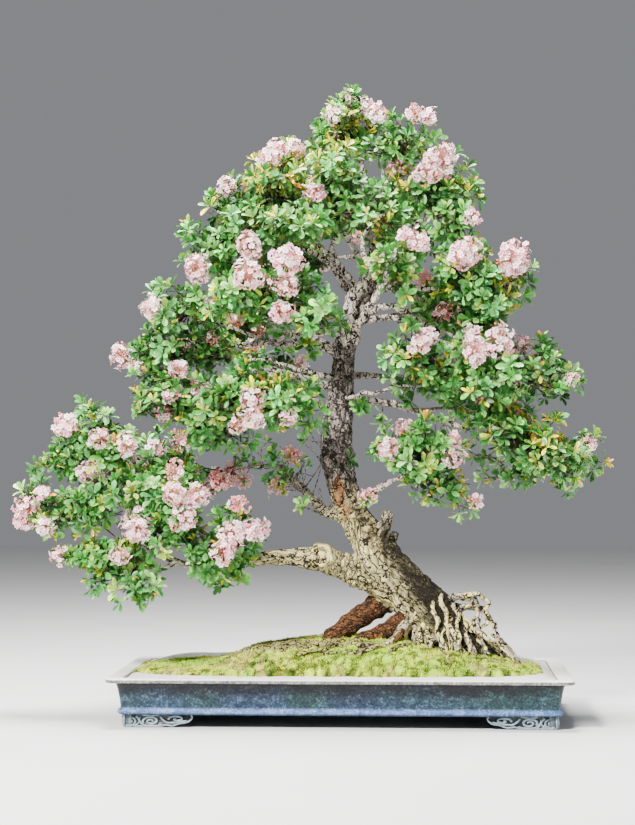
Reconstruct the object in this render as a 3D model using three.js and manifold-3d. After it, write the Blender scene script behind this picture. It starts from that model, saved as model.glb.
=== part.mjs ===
// A flowering Indian hawthorn trained as a bonsai, planted in a shallow glazed tray with four scroll feet.
// Millimetres, +Z up. The tree is seen from -Y. Everything is laid out from the middle of the tray and
// from the surface that its feet stand on, and the whole is centred under its own bounding box at the end.
import * as THREE from "three";
import { mergeVertices } from "three/addons/utils/BufferGeometryUtils.js";
import Module from "manifold-3d";

const wasm = await Module();
wasm.setup();

// Driving dimensions
const TRAY_LENGTH = 900;
const TRAY_DEPTH = 490;
const TRAY_HEIGHT = 96;
const LIP_WIDTH = 30;
const FOOT_HEIGHT = 26;
const FLOOR_THICKNESS = 11;
const CORNER_RADIUS = 9;
const OUTER_CORNER_RADIUS = 16;
const DRAIN_RADIUS = 18;
const DRAIN_SPACING = 400;
const GAP = 0.35; // between pieces that touch
const MOUND_HALF_LENGTH = 404;
const MOUND_FRONT_DEPTH = 198;
const MOUND_REAR_DEPTH = 168;
const MOUND_CENTRE_X = -6;
const LEAF_LENGTH = 62; // larger than life, because few leaves stand for many
const LEAF_WIDTH = 43;
const LEAF_THICKNESS = 2.4;
const FLORET_RADIUS = 17;
const SEED = 12;

// Small helpers

let state = SEED;
function random() {
  state = (state + 0x6d2b79f5) | 0;
  let t = Math.imul(state ^ (state >>> 15), 1 | state);
  t = (t + Math.imul(t ^ (t >>> 7), 61 | t)) ^ t;
  return ((t ^ (t >>> 14)) >>> 0) / 4294967296;
}

function between(low, high) {
  return low + (high - low) * random();
}

function vector(p) {
  return new THREE.Vector3(p[0], p[1], p[2]);
}

function geometryOf(positions, index) {
  const geometry = new THREE.BufferGeometry();
  geometry.setAttribute("position", new THREE.Float32BufferAttribute(positions, 3));
  geometry.setIndex(index);
  return geometry;
}

function signedVolume(positions, index) {
  const a = new THREE.Vector3();
  const b = new THREE.Vector3();
  const c = new THREE.Vector3();
  let sum = 0;
  for (let i = 0; i < index.length; i += 3) {
    a.fromArray(positions, 3 * index[i]);
    b.fromArray(positions, 3 * index[i + 1]);
    c.fromArray(positions, 3 * index[i + 2]);
    sum += a.dot(b.cross(c)) / 6;
  }
  return sum;
}

// A closed geometry as a solid, turned so that its faces point out.
function solidOf(geometry) {
  geometry.deleteAttribute("normal");
  geometry.deleteAttribute("uv");
  const merged = mergeVertices(geometry, 1e-4);
  const vertProperties = new Float32Array(merged.attributes.position.array);
  const triVerts = new Uint32Array(merged.index.array);
  if (signedVolume(vertProperties, triVerts) < 0) triVerts.reverse();
  return new wasm.Manifold(new wasm.Mesh({ numProp: 3, vertProperties, triVerts }));
}

// The largest body of a solid, without the loose scraps that a cut can leave.
function largest(solid) {
  const bodies = solid.decompose();
  return bodies.reduce((a, b) => (b.volume() > a.volume() ? b : a));
}

function boxesMeet(a, b, margin) {
  const p = a.boundingBox();
  const q = b.boundingBox();
  return [0, 1, 2].every((k) => p.min[k] - margin < q.max[k] && q.min[k] - margin < p.max[k]);
}

function touches(a, b) {
  return boxesMeet(a, b, 0) && !a.intersect(b).isEmpty();
}

function cutBy(solid, others) {
  return others.filter((o) => boxesMeet(solid, o, 0)).reduce((s, o) => s.subtract(o), solid);
}

// A surface through rings of equally many points, closed by a fan at each end, or into a ring of rings.
function loft(rings, closed = false) {
  const count = rings[0].length;
  const positions = rings.flat().flatMap((p) => [p.x, p.y, p.z]);
  const index = [];
  const last = closed ? rings.length : rings.length - 1;
  for (let i = 0; i < last; i++) {
    const next = (i + 1) % rings.length;
    for (let j = 0; j < count; j++) {
      const k = (j + 1) % count;
      const [a, b, c, d] = [i * count + j, i * count + k, next * count + k, next * count + j];
      index.push(a, b, c, a, c, d);
    }
  }
  if (!closed) {
    for (const [ring, start, flip] of [
      [rings[0], 0, true],
      [rings.at(-1), (rings.length - 1) * count, false],
    ]) {
      const middle = ring.reduce((s, p) => s.add(p), new THREE.Vector3()).divideScalar(count);
      const hub = positions.length / 3;
      positions.push(middle.x, middle.y, middle.z);
      for (let j = 0; j < count; j++) {
        const k = (j + 1) % count;
        index.push(hub, flip ? start + k : start + j, flip ? start + j : start + k);
      }
    }
  }
  return geometryOf(positions, index);
}

// Wood: every limb is a tapered tube along a smooth curve through points [x, y, z, radius].

function limbSolid(points, sides, stepsPerSpan, grow, flutes = 0) {
  const curve = new THREE.CatmullRomCurve3(points.map(vector), false, "centripetal");
  const spans = points.length - 1;
  const steps = spans * stepsPerSpan;
  const frames = curve.computeFrenetFrames(steps, false);
  const rings = [];
  for (let i = 0; i <= steps; i++) {
    const u = i / steps;
    const t = curve.getUtoTmapping(u) * spans;
    const span = Math.min(Math.floor(t), spans - 1);
    const radius = THREE.MathUtils.lerp(points[span][3], points[span + 1][3], t - span) + grow;
    const centre = curve.getPointAt(u);
    if (i === 0) centre.addScaledVector(frames.tangents[i], -grow);
    if (i === steps) centre.addScaledVector(frames.tangents[i], grow);
    const ring = [];
    for (let j = 0; j < sides; j++) {
      const angle = (2 * Math.PI * j) / sides;
      const swell = 1 + flutes * Math.cos(3 * angle + 2.2 * u) + 0.6 * flutes * Math.cos(5 * angle - 3 * u);
      ring.push(
        centre
          .clone()
          .addScaledVector(frames.normals[i], radius * swell * Math.cos(angle))
          .addScaledVector(frames.binormals[i], radius * swell * Math.sin(angle)),
      );
    }
    rings.push(ring);
  }
  return solidOf(loft(rings));
}

// The trunk leans left out of its roots, straightens and bends back at the crown.
const TRUNK = [
  [232, 6, 96, 74], [205, 4, 145, 66], [176, 0, 196, 57], [132, 0, 250, 52], [86, 0, 304, 45],
  [46, 0, 362, 38], [12, 0, 422, 33], [-9, 0, 484, 31], [-16, 0, 552, 30], [-8, 2, 622, 27],
  [0, 2, 684, 25], [-1, 0, 742, 24], [12, 0, 790, 23], [40, 0, 834, 20], [58, 0, 880, 17],
  [64, 0, 932, 13], [58, 0, 1000, 10], [45, 0, 1070, 7.5], [35, 0, 1130, 6],
];

const LIMBS = {
  first_left: [
    [118, 0, 240, 38], [66, -6, 272, 34], [17, -15, 296, 31], [-30, -22, 314, 28], [-78, -30, 321, 22],
    [-123, -36, 321, 18], [-165, -46, 318, 16], [-235, -52, 308, 12], [-300, -55, 304, 9.5],
    [-360, -55, 322, 7.5], [-420, -52, 360, 6],
  ],
  first_left_front: [[-146, -42, 318, 9], [-182, -74, 322, 7], [-205, -98, 328, 5]],
  first_left_mid: [[-200, -50, 312, 9], [-245, -68, 344, 7.5], [-292, -86, 385, 6]],
  first_left_low: [[-325, -56, 309, 6], [-354, -62, 303, 5], [-378, -66, 296, 4.5]],
  first_left_up: [[-385, -54, 336, 6], [-405, -40, 410, 5.5], [-440, -28, 475, 5]],
  second_left: [
    [20, 5, 392, 17], [-42, 22, 414, 13], [-90, 36, 464, 10], [-134, 46, 504, 8], [-200, 56, 506, 6],
  ],
  third_left: [
    [-6, 0, 660, 13], [-50, -20, 674, 10], [-105, -38, 690, 8.5], [-160, -52, 702, 7.5],
    [-205, -52, 690, 6.5], [-250, -40, 668, 5],
  ],
  third_left_front: [[-95, -36, 688, 7], [-122, -66, 680, 6], [-142, -92, 664, 5]],
  left_back_low: [[-12, 0, 606, 13], [-60, 58, 638, 9], [-112, 105, 662, 6]],
  fourth_left: [
    [0, 0, 730, 14], [-40, -10, 750, 10], [-100, -20, 752, 8.5], [-160, -16, 755, 7.5], [-225, -4, 750, 6],
  ],
  fourth_left_far: [[-150, -17, 754, 6], [-205, -24, 778, 5.5], [-258, -30, 798, 5]],
  fourth_left_front: [[-92, -19, 752, 7], [-108, -48, 775, 6], [-116, -74, 794, 5]],
  fifth_left: [
    [34, 0, 842, 13], [-8, -20, 884, 9.5], [-22, -34, 912, 8], [-60, -54, 936, 7], [-102, -70, 948, 5],
  ],
  left_leader: [[48, 0, 892, 11], [26, -28, 938, 8.5], [0, -54, 980, 6]],
  left_high: [[60, 0, 985, 8], [0, -10, 1020, 6.5], [-62, -25, 1042, 4.5]],
  right_high: [[64, 0, 925, 10], [95, -10, 962, 8.5], [130, -15, 975, 7], [166, -10, 1008, 5]],
  crown_back: [[59, 0, 975, 7], [62, 26, 995, 6], [66, 52, 1014, 4.5]],
  crown_right: [[54, 0, 1036, 7.5], [84, -10, 1074, 6], [104, -18, 1104, 4.5]],
  right_upper: [[54, 0, 862, 12], [110, -10, 868, 9], [165, -15, 864, 7.5], [202, -22, 862, 5.5]],
  right_upper_front: [[98, -8, 868, 6], [110, -34, 876, 5.5], [113, -62, 886, 5]],
  right_upper_back: [[108, -8, 867, 7], [140, 12, 854, 6], [168, 32, 842, 5]],
  right_mid: [
    [6, 0, 788, 14], [50, -12, 802, 10], [105, -20, 806, 8.5], [142, -25, 788, 8], [185, -30, 759, 7],
    [228, -36, 742, 5.5],
  ],
  right_mid_low: [[136, -24, 791, 6.5], [146, -42, 770, 5.5], [151, -58, 752, 5]],
  right_low: [
    [-4, 0, 642, 15], [51, -4, 638, 10], [100, 0, 632, 9], [150, 4, 616, 8], [200, 4, 598, 7],
    [254, 0, 578, 5.5],
  ],
  right_low_back: [[142, 3, 618, 6.5], [190, 26, 622, 5.5], [242, 46, 622, 4.5]],
  right_low_under: [[196, 4, 600, 6], [222, 30, 570, 5.5], [252, 58, 535, 4.5]],
  right_front: [[20, -4, 428, 14], [64, -22, 455, 9], [95, -45, 473, 7.5], [130, -72, 490, 5.5]],
  back_high_left: [[62, 0, 922, 9], [20, 58, 938, 7], [-32, 104, 940, 5]],
  back_high_right: [[60, 0, 900, 9], [80, 56, 938, 7], [92, 102, 966, 5]],
  back_left: [[-2, 0, 738, 12], [-60, 60, 766, 8.5], [-124, 114, 790, 5.5]],
  back_right: [[18, 0, 798, 12], [70, 68, 812, 8.5], [134, 128, 826, 5.5]],
  back_mid_right: [[0, 0, 690, 12], [60, 78, 692, 8.5], [146, 134, 684, 5.5]],
  stub_right: [[70, -4, 330, 20], [84, -14, 380, 15], [93, -18, 414, 13]],
  stub_right_low: [[92, 12, 330, 16], [106, 18, 372, 9]],
  knot: [[-38, -26, 306, 18], [-42, -50, 328, 14]],
};

// Roots: looped ones on the right, buttresses in front, an arched old root and creeping ones on the left.
const ROOTS = [
  [
    [196, -8, 226, 16], [232, -20, 245, 10], [268, -26, 244, 7], [280, -28, 224, 6.5], [268, -34, 194, 6],
    [282, -40, 150, 6], [288, -44, 108, 6],
  ],
  [
    [206, 0, 210, 16], [250, -6, 221, 9], [288, -10, 216, 7.5], [305, -12, 194, 7], [296, -16, 176, 6.5],
    [324, -18, 152, 6], [360, -20, 100, 6],
  ],
  [[214, 10, 180, 24], [268, 14, 160, 14], [318, 18, 126, 9], [356, 20, 96, 7]],
  [[210, -40, 190, 14], [226, -68, 158, 9], [234, -84, 128, 8], [240, -92, 96, 8]],
  [[190, -44, 180, 13], [200, -74, 150, 8.5], [204, -92, 122, 8], [212, -100, 92, 8]],
  [[226, -30, 180, 14], [256, -54, 150, 9], [268, -66, 122, 8], [282, -72, 92, 8]],
  [[160, -36, 190, 17], [146, -62, 158, 11], [150, -84, 132, 10], [138, -104, 96, 9]],
  [[176, -40, 170, 16], [172, -78, 142, 11], [184, -104, 112, 9], [180, -116, 84, 9]],
  [[128, -14, 200, 20], [98, -30, 166, 14], [58, -44, 148, 12], [16, -54, 134, 10], [-22, -60, 112, 9]],
  [[112, 24, 242, 20], [56, 8, 215, 19], [16, -4, 187, 18], [-24, -12, 157, 16], [-54, -18, 114, 15]],
  [
    [34, -50, 142, 10], [-14, -64, 152, 8], [-58, -82, 150, 7], [-104, -78, 148, 6], [-150, -96, 142, 5.5],
    [-196, -82, 132, 5], [-234, -70, 104, 4.5],
  ],
  [[-34, -16, 154, 8], [-86, 0, 150, 6.5], [-140, -14, 145, 6], [-188, 2, 135, 5], [-226, -4, 106, 4.5]],
  [
    [132, -34, 196, 15], [96, -84, 154, 9], [60, -132, 147, 7], [16, -150, 139, 6.5], [-34, -142, 138, 5.5],
    [-74, -150, 112, 5],
  ],
  [[170, 44, 190, 20], [150, 84, 150, 12], [132, 112, 118, 9], [118, 126, 88, 8]],
  [[206, 48, 186, 20], [220, 88, 150, 12], [232, 116, 116, 9], [240, 128, 88, 8]],
  [[228, 30, 178, 18], [282, 62, 142, 10], [322, 82, 108, 8], [340, 90, 84, 7]],
  [[140, 30, 212, 18], [92, 62, 168, 12], [48, 78, 146, 9], [10, 88, 112, 8]],
];
const ROOT_SIDES = 4;

function woodSolid(grow) {
  const pieces = [limbSolid(TRUNK, 10, 1, grow, 0.05)];
  for (const points of Object.values(LIMBS)) {
    const sides = points[0][3] > 25 ? 8 : points[0][3] > 11 ? 5 : 4;
    pieces.push(limbSolid(points, sides, 1, grow, sides > 5 ? 0.03 : 0));
  }
  for (const points of ROOTS) pieces.push(limbSolid(points, ROOT_SIDES, 1, grow));
  return pieces.reduce((a, b) => a.add(b));
}

// Leaf sprays: each grows on from the tip of one limb, and bears tufts [x, y, z, half width, half height].
const SPRAYS = {
  apex: ["trunk", [[27, 0, 1196, 62, 38], [-22, -10, 1148, 44, 34]]],
  crest_right: ["crown_right", [[122, -26, 1154, 56, 38]]],
  high_left: ["left_high", [[-122, -52, 1090, 70, 38], [-199, -22, 1022, 58, 42]]],
  high_front: ["left_leader", [[0, -92, 1070, 58, 42], [-70, -112, 992, 70, 42], [58, -104, 1006, 50, 36]]],
  high_right: ["right_high", [[192, 0, 1068, 66, 46], [240, -20, 992, 44, 52]]],
  high_back: ["crown_back", [[104, 64, 1044, 54, 40], [-8, 88, 1048, 58, 42]]],
  left_upper: ["fifth_left", [[-165, -92, 960, 66, 38], [-258, -60, 932, 62, 42]]],
  left_shoulder: ["fourth_left_front", [[-190, -116, 852, 74, 46], [-66, -118, 820, 58, 44]]],
  left_point: ["fourth_left_far", [[-330, -40, 812, 66, 36]]],
  left_middle: ["fourth_left", [[-280, 58, 752, 66, 40], [-388, 4, 732, 66, 40]]],
  left_front: ["third_left_front", [[-220, -116, 632, 76, 48], [-110, -152, 622, 66, 46]]],
  left_reach: ["third_left", [[-356, -24, 648, 70, 46], [-262, -60, 574, 62, 32]]],
  left_back: ["left_back_low", [[-150, 88, 700, 54, 34], [-228, 178, 652, 70, 44]]],
  low_left_back: ["second_left", [[-330, 66, 478, 56, 34], [-392, 122, 508, 64, 40]]],
  low_left_top: ["first_left_up", [[-474, -40, 552, 72, 40], [-556, 0, 536, 56, 40]]],
  low_left_end: ["first_left", [[-508, -58, 428, 66, 38], [-592, -20, 410, 60, 36]]],
  low_left_mid: ["first_left_mid", [[-398, -88, 462, 74, 42], [-340, -132, 402, 76, 52]]],
  low_left_under: ["first_left_low", [[-470, -58, 326, 80, 36], [-396, -90, 264, 48, 32]]],
  low_left_front: ["first_left_front", [[-196, -140, 358, 58, 34], [-250, -138, 302, 56, 30]]],
  right_crest: ["right_upper", [[262, -58, 874, 66, 46], [322, 0, 856, 48, 44]]],
  right_crest_front: ["right_upper_front", [[117, -118, 898, 54, 34]]],
  right_crest_back: ["right_upper_back", [[182, 84, 832, 50, 38], [290, 26, 792, 66, 40]]],
  right_middle: ["right_mid", [[290, -80, 692, 66, 46], [410, 0, 702, 56, 46]]],
  right_middle_front: ["right_mid_low", [[112, -92, 720, 52, 36], [190, -34, 680, 56, 42]]],
  right_middle_back: ["right_low_back", [[312, 60, 622, 66, 40]]],
  right_lower: ["right_low", [[322, -24, 568, 58, 36], [402, -40, 532, 66, 42], [456, 20, 514, 50, 38]]],
  right_lower_back: ["right_low_under", [[358, 100, 492, 58, 30]]],
  right_lower_front: ["right_front", [[152, -110, 532, 62, 46], [208, -92, 464, 50, 42]]],
  back_top_left: ["back_high_left", [[-108, 150, 942, 70, 46]]],
  back_top_right: ["back_high_right", [[112, 160, 990, 66, 46]]],
  back_left: ["back_left", [[-206, 168, 822, 74, 48]]],
  back_right: ["back_right", [[208, 178, 842, 72, 48]]],
  back_low_right: ["back_mid_right", [[248, 186, 674, 74, 48]]],
};

// Flower heads: [spray, x, y, z, radius].
const BLOOMS = [
  ["apex", 62, -24, 1212, 27],
  ["high_left", -140, -92, 1118, 30],
  ["high_right", 182, -44, 1084, 38],
  ["high_front", -52, -128, 1046, 28],
  ["left_upper", -278, -92, 908, 40],
  ["left_shoulder", -184, -158, 864, 40],
  ["left_shoulder", -108, -160, 806, 34],
  ["left_middle", -440, -14, 722, 26],
  ["left_front", -166, -186, 606, 30],
  ["low_left_top", -566, -26, 572, 30],
  ["low_left_end", -640, -34, 400, 28],
  ["low_left_mid", -376, -168, 388, 36],
  ["low_left_mid", -304, -160, 430, 34],
  ["low_left_front", -172, -180, 374, 30],
  ["right_crest", 244, -98, 904, 38],
  ["right_crest", 334, -36, 908, 34],
  ["right_middle", 272, -118, 714, 38],
  ["right_middle_front", 158, -112, 742, 26],
  ["right_lower_front", 98, -138, 540, 26],
  ["back_left", -190, 208, 848, 32],
  ["back_low_right", 262, 228, 700, 32],
];

const LEAF_REACH = 32; // how far a leaf stands out of its tuft's core
const CORE_LEAST = 13;
const TUFT_SCALE = 1.16; // of the half widths and heights above
const TUFT_DEPTH_SHARE = 0.9; // a tuft's depth as a share of its width
const TWIG_SIDES = 3;
const TWIG_END = 4;
const TWIG_SLACK = 0.02;
const TWIG_STEP = 0.7; // each further twig starts this much inside the first
const TWIG_NARROWING = 0.12;
const STALK_RADIUS = 3;

function ellipsoid(centre, rx, ry, rz, grow) {
  const geometry = new THREE.IcosahedronGeometry(1, 0);
  geometry.scale(rx + grow, ry + grow, rz + grow).translate(centre.x, centre.y, centre.z);
  return solidOf(geometry);
}

function tuftCore(tuft) {
  const [x, y, z, halfWidth, halfHeight] = tuft;
  const rx = Math.max(CORE_LEAST, TUFT_SCALE * halfWidth - LEAF_REACH);
  const rz = Math.max(CORE_LEAST, TUFT_SCALE * halfHeight - LEAF_REACH * 0.6);
  return { centre: new THREE.Vector3(x, y, z), rx, ry: rx * TUFT_DEPTH_SHARE, rz };
}

// The middles of the faces of a core of radius one, spread apart from a chosen first one.
const FACES = [];
{
  const corners = new THREE.IcosahedronGeometry(1, 0).attributes.position;
  for (let i = 0; i < corners.count; i += 3) {
    const middle = new THREE.Vector3();
    for (let j = 0; j < 3; j++) middle.add(new THREE.Vector3().fromBufferAttribute(corners, i + j));
    FACES.push(middle.divideScalar(3));
  }
}

function spreadFaces(count, axis, lowest) {
  const free = FACES.filter((f) => f.dot(axis) > lowest);
  const chosen = [free.reduce((a, b) => (b.dot(axis) > a.dot(axis) ? b : a))];
  while (chosen.length < Math.min(count, free.length)) {
    const room = (f) => Math.min(...chosen.map((c) => c.distanceTo(f))) + between(0, 0.1);
    const ranked = free.filter((f) => !chosen.includes(f)).map((f) => [room(f), f]);
    chosen.push(ranked.reduce((a, b) => (b[0] > a[0] ? b : a))[1]);
  }
  return chosen;
}

// Where a limb ends, and the direction it points there.
function limbTip(name) {
  const points = name === "trunk" ? TRUNK : LIMBS[name];
  const curve = new THREE.CatmullRomCurve3(points.map(vector), false, "centripetal");
  return { end: curve.getPoint(1), direction: curve.getTangent(1), radius: points.at(-1)[3] };
}

// A straight tapered bar from one point to another, whose first end is square to a given direction.
function bar(from, to, fromRadius, toRadius, sides, grow, facing) {
  const along = to.clone().sub(from).normalize();
  const first = facing ?? along;
  const aside = Math.abs(first.z) < 0.7 ? new THREE.Vector3(0, 0, 1) : new THREE.Vector3(1, 0, 0);
  const firstSide = aside.cross(first).normalize();
  const turn = new THREE.Quaternion().setFromUnitVectors(first, along);
  const rings = [
    [from, first, firstSide, fromRadius, -grow],
    [to, along, firstSide.clone().applyQuaternion(turn), toRadius, grow],
  ].map(([at, normal, side, radius, extra]) => {
    const other = normal.clone().cross(side);
    const centre = at.clone().addScaledVector(normal, extra);
    return Array.from({ length: sides }, (_, j) => {
      const angle = (2 * Math.PI * j) / sides;
      return centre
        .clone()
        .addScaledVector(side, (radius + grow) * Math.cos(angle))
        .addScaledVector(other, (radius + grow) * Math.sin(angle));
    });
  });
  return solidOf(loft(rings));
}

// The twigs and the cores of the tufts of one spray. They start a hair's breadth from the limb's end face.
function sprayFrame(name, grow) {
  const [limb, tufts] = SPRAYS[name];
  const { end, direction, radius } = limbTip(limb);
  const pieces = tufts.map(tuftCore).flatMap((core, i) => {
    const start = end.clone().addScaledVector(direction, GAP + TWIG_SLACK + TWIG_STEP * i);
    const width = radius * (0.95 - TWIG_NARROWING * i);
    return [
      bar(start, core.centre, width, TWIG_END, TWIG_SIDES, grow, direction),
      ellipsoid(core.centre, core.rx, core.ry, core.rz, grow),
    ];
  });
  return pieces.reduce((a, b) => a.add(b));
}

// A leaf blade: an obovate outline round a slightly raised midrib, arched along its length.
const LEAF_OUTLINE = [[0.62, 0.5]]; // share of length, share of width
const LEAF_DROOP = 0.16;
const LEAF_ROOT = 9; // how deep a leaf is sunk into its core

function leafSolid(root, along, up, length, grow) {
  const side = new THREE.Vector3().crossVectors(along, up).normalize();
  const face = new THREE.Vector3().crossVectors(side, along).normalize();
  const place = (t, w, h) =>
    root
      .clone()
      .addScaledVector(along, t * length)
      .addScaledVector(side, w)
      .addScaledVector(face, h - LEAF_DROOP * length * t * t);
  const halfThickness = LEAF_THICKNESS / 2 + grow;
  const width = (LEAF_WIDTH * length) / LEAF_LENGTH + 2 * grow;
  const outline = [
    place(-LEAF_ROOT / length, 0, 0),
    ...LEAF_OUTLINE.map(([t, w]) => place(t, -w * width, 1)),
    place(1 + grow / length, 0, 0),
    ...[...LEAF_OUTLINE].reverse().map(([t, w]) => place(t, w * width, 1)),
  ];
  return fansOf(outline, place(0.5, 0, halfThickness), place(0.5, 0, -halfThickness));
}

// A closed body from an outline and two apexes, one on each side of it.
function fansOf(outline, top, bottom) {
  const positions = [...outline, top, bottom].flatMap((p) => p.toArray());
  const count = outline.length;
  const index = [];
  for (let j = 0; j < count; j++) {
    const k = (j + 1) % count;
    index.push(count, j, k, count + 1, k, j);
  }
  return solidOf(geometryOf(positions, index));
}

// How a leaf may stand on a face of its tuft's core: laid back over it like a scale, its tip lifted.
const LEAF_LIFT = 0.62; // how much it points away from the core
const LEAF_LAY = 0.78; // how much it points along the core
function leafPlace(core, face, tries) {
  const root = new THREE.Vector3(face.x * core.rx, face.y * core.ry, face.z * core.rz).add(core.centre);
  const out = new THREE.Vector3(face.x / core.rx, face.y / core.ry, face.z / core.rz).normalize();
  out.lerp(face.clone().normalize(), 0.5).normalize();
  const lay = new THREE.Vector3(between(-1, 1), between(-1, 1), between(-0.6, 1.2));
  lay.addScaledVector(out, -lay.dot(out)).normalize();
  const along = out.clone().multiplyScalar(LEAF_LIFT).addScaledVector(lay, LEAF_LAY).normalize();
  return { root, along, up: out, length: LEAF_LENGTH * between(0.9, 1.12) * (1 - 0.04 * tries) };
}

// A flower head: florets over a small core on a stalk, each of five petals folded up round a sunken eye.
const FLORETS_PER_HEAD = 5.6;
const FLORET_DEPTH = 0.62; // as a share of the head's radius
const USUAL_HEAD_RADIUS = 34;
const PETALS = 5;
const PETAL_LIFT = 4;

function floretSolid(centre, out, radius, depth) {
  const turn = new THREE.Quaternion().setFromUnitVectors(new THREE.Vector3(0, 0, 1), out);
  const place = (x, y, z) => new THREE.Vector3(x, y, z).applyQuaternion(turn).add(centre);
  const spin = between(0, Math.PI);
  const outline = Array.from({ length: PETALS }, (_, j) => {
    const angle = spin + (2 * Math.PI * j) / PETALS;
    return place(radius * Math.cos(angle), radius * Math.sin(angle), PETAL_LIFT);
  });
  return fansOf(outline, place(0, 0, -1), place(0, 0, -depth));
}

// The tuft core of a spray that is nearest to a point.
function nearestCore(name, point) {
  const cores = SPRAYS[name][1].map(tuftCore);
  return cores.reduce((a, b) => (b.centre.distanceTo(point) < a.centre.distanceTo(point) ? b : a));
}

const HEAD_CLEAR = 0.85; // distance of a head's middle from the core below it, as a share of its radius

function bloomSolid(spray, x, y, z, radius) {
  const centre = new THREE.Vector3(x, y, z);
  const core = nearestCore(spray, centre);
  const below = core.centre;
  const offset = centre.clone().sub(below);
  const share = Math.hypot(offset.x / core.rx, offset.y / core.ry, offset.z / core.rz);
  const least = offset.length() / share + HEAD_CLEAR * radius;
  if (offset.length() < least) centre.copy(below).addScaledVector(offset.normalize(), least);
  let solid = ellipsoid(centre, radius * 0.5, radius * 0.5, radius * 0.42, 0);
  solid = solid.add(bar(below, centre, STALK_RADIUS, STALK_RADIUS, TWIG_SIDES, 0));
  const count = Math.round(FLORETS_PER_HEAD * (radius / USUAL_HEAD_RADIUS));
  const axis = centre.clone().sub(below).normalize();
  for (const face of spreadFaces(Math.max(5, count), axis, -0.3)) {
    const out = face.clone().normalize();
    const at = centre.clone().addScaledVector(out, radius - PETAL_LIFT);
    solid = solid.add(floretSolid(at, out, FLORET_RADIUS, radius * FLORET_DEPTH));
  }
  return solid;
}

// The tray: a lofted outside with a rounded foot moulding and a broad lip, hollowed, on four scroll feet.

const LONG_SIDE_POINTS = 5;
const SHORT_SIDE_POINTS = 2;
const OUTER_CORNER_POINTS = 3;

// Points round a rectangle with round corners; fill puts further points along its sides.
function rectangle(halfX, halfY, z, radius, fill, cornerPoints = 2) {
  const ring = [];
  const corners = [[1, 1, 0], [-1, 1, 1], [-1, -1, 2], [1, -1, 3]];
  corners.forEach(([sx, sy, quarter], c) => {
    for (let i = 0; i < cornerPoints; i++) {
      const angle = (Math.PI / 2) * (quarter + i / (cornerPoints - 1));
      const x = sx * (halfX - radius) + radius * Math.cos(angle);
      const y = sy * (halfY - radius) + radius * Math.sin(angle);
      ring.push(new THREE.Vector3(x, y, z));
    }
    if (!fill) return;
    const alongX = c % 2 === 0;
    const count = alongX ? LONG_SIDE_POINTS : SHORT_SIDE_POINTS;
    for (let i = 1; i <= count; i++) {
      const t = 1 - (2 * i) / (count + 1);
      const x = alongX ? sx * (halfX - radius) * t : sx * halfX;
      const y = alongX ? sy * halfY : sy * (halfY - radius) * t;
      ring.push(new THREE.Vector3(x, y, z));
    }
  });
  return ring;
}

// Outside profile of the tray: [inset from the lip's edge, height].
const TRAY_PROFILE = [
  [34, 24], [25, 25.5], [21, 29], [21, 33.5], [25, 37], [26, 40], [24, 56], [19, 80], [17, 85],
  [3, 87.5], [0, 89.5], [0, 94], [2, 96],
];
const CAVITY_INSET_TOP = LIP_WIDTH;
const CAVITY_INSET_FLOOR = 40;
const FLOOR_TOP = FOOT_HEIGHT + FLOOR_THICKNESS;
const HALF_LENGTH = TRAY_LENGTH / 2;
const HALF_DEPTH = TRAY_DEPTH / 2;

function trayRing(inset, z, fill = false) {
  return rectangle(HALF_LENGTH - inset, HALF_DEPTH - inset, z, CORNER_RADIUS, fill);
}

// A ring at a height of the cavity, a distance in from its wall.
function cavityRing(z, inward, fill = false) {
  const share = (z - FLOOR_TOP) / (TRAY_HEIGHT - FLOOR_TOP);
  return trayRing(THREE.MathUtils.lerp(CAVITY_INSET_FLOOR, CAVITY_INSET_TOP, share) + inward, z, fill);
}

// A scroll foot seen from the side: a flat sole, then lobes that rise to the tail. 0 is the tray's corner.
const FOOT_LENGTH_FRONT = 132;
const FOOT_LENGTH_SIDE = 92;
const FOOT_THICKNESS = 16;
const FOOT_INSET = 32;

function footPlate(length) {
  const s = length / FOOT_LENGTH_FRONT;
  const shape = new THREE.Shape();
  shape.moveTo(0, FOOT_HEIGHT + 3);
  shape.lineTo(0, 12);
  shape.quadraticCurveTo(0, 0, 12, 0);
  shape.lineTo(62 * s, 0);
  shape.quadraticCurveTo(80 * s, 0, 86 * s, 7);
  shape.quadraticCurveTo(98 * s, 3, 110 * s, 9);
  shape.quadraticCurveTo(128 * s, 11, 132 * s, 20);
  shape.lineTo(132 * s, FOOT_HEIGHT + 3);
  return new THREE.ExtrudeGeometry(shape, {
    depth: FOOT_THICKNESS,
    bevelEnabled: false,
    curveSegments: 2,
  });
}

function footSolid(sx, sy) {
  const x = HALF_LENGTH - FOOT_INSET;
  const y = HALF_DEPTH - FOOT_INSET;
  const front = footPlate(FOOT_LENGTH_FRONT).rotateX(Math.PI / 2);
  const side = footPlate(FOOT_LENGTH_SIDE).rotateX(Math.PI / 2).rotateZ(Math.PI / 2);
  front.translate(0, FOOT_THICKNESS, 0);
  const corner = solidOf(front).add(solidOf(side));
  const mirror = corner.scale([-sx, -sy, 1]);
  return mirror.translate([sx * x, sy * y, 0]);
}

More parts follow.
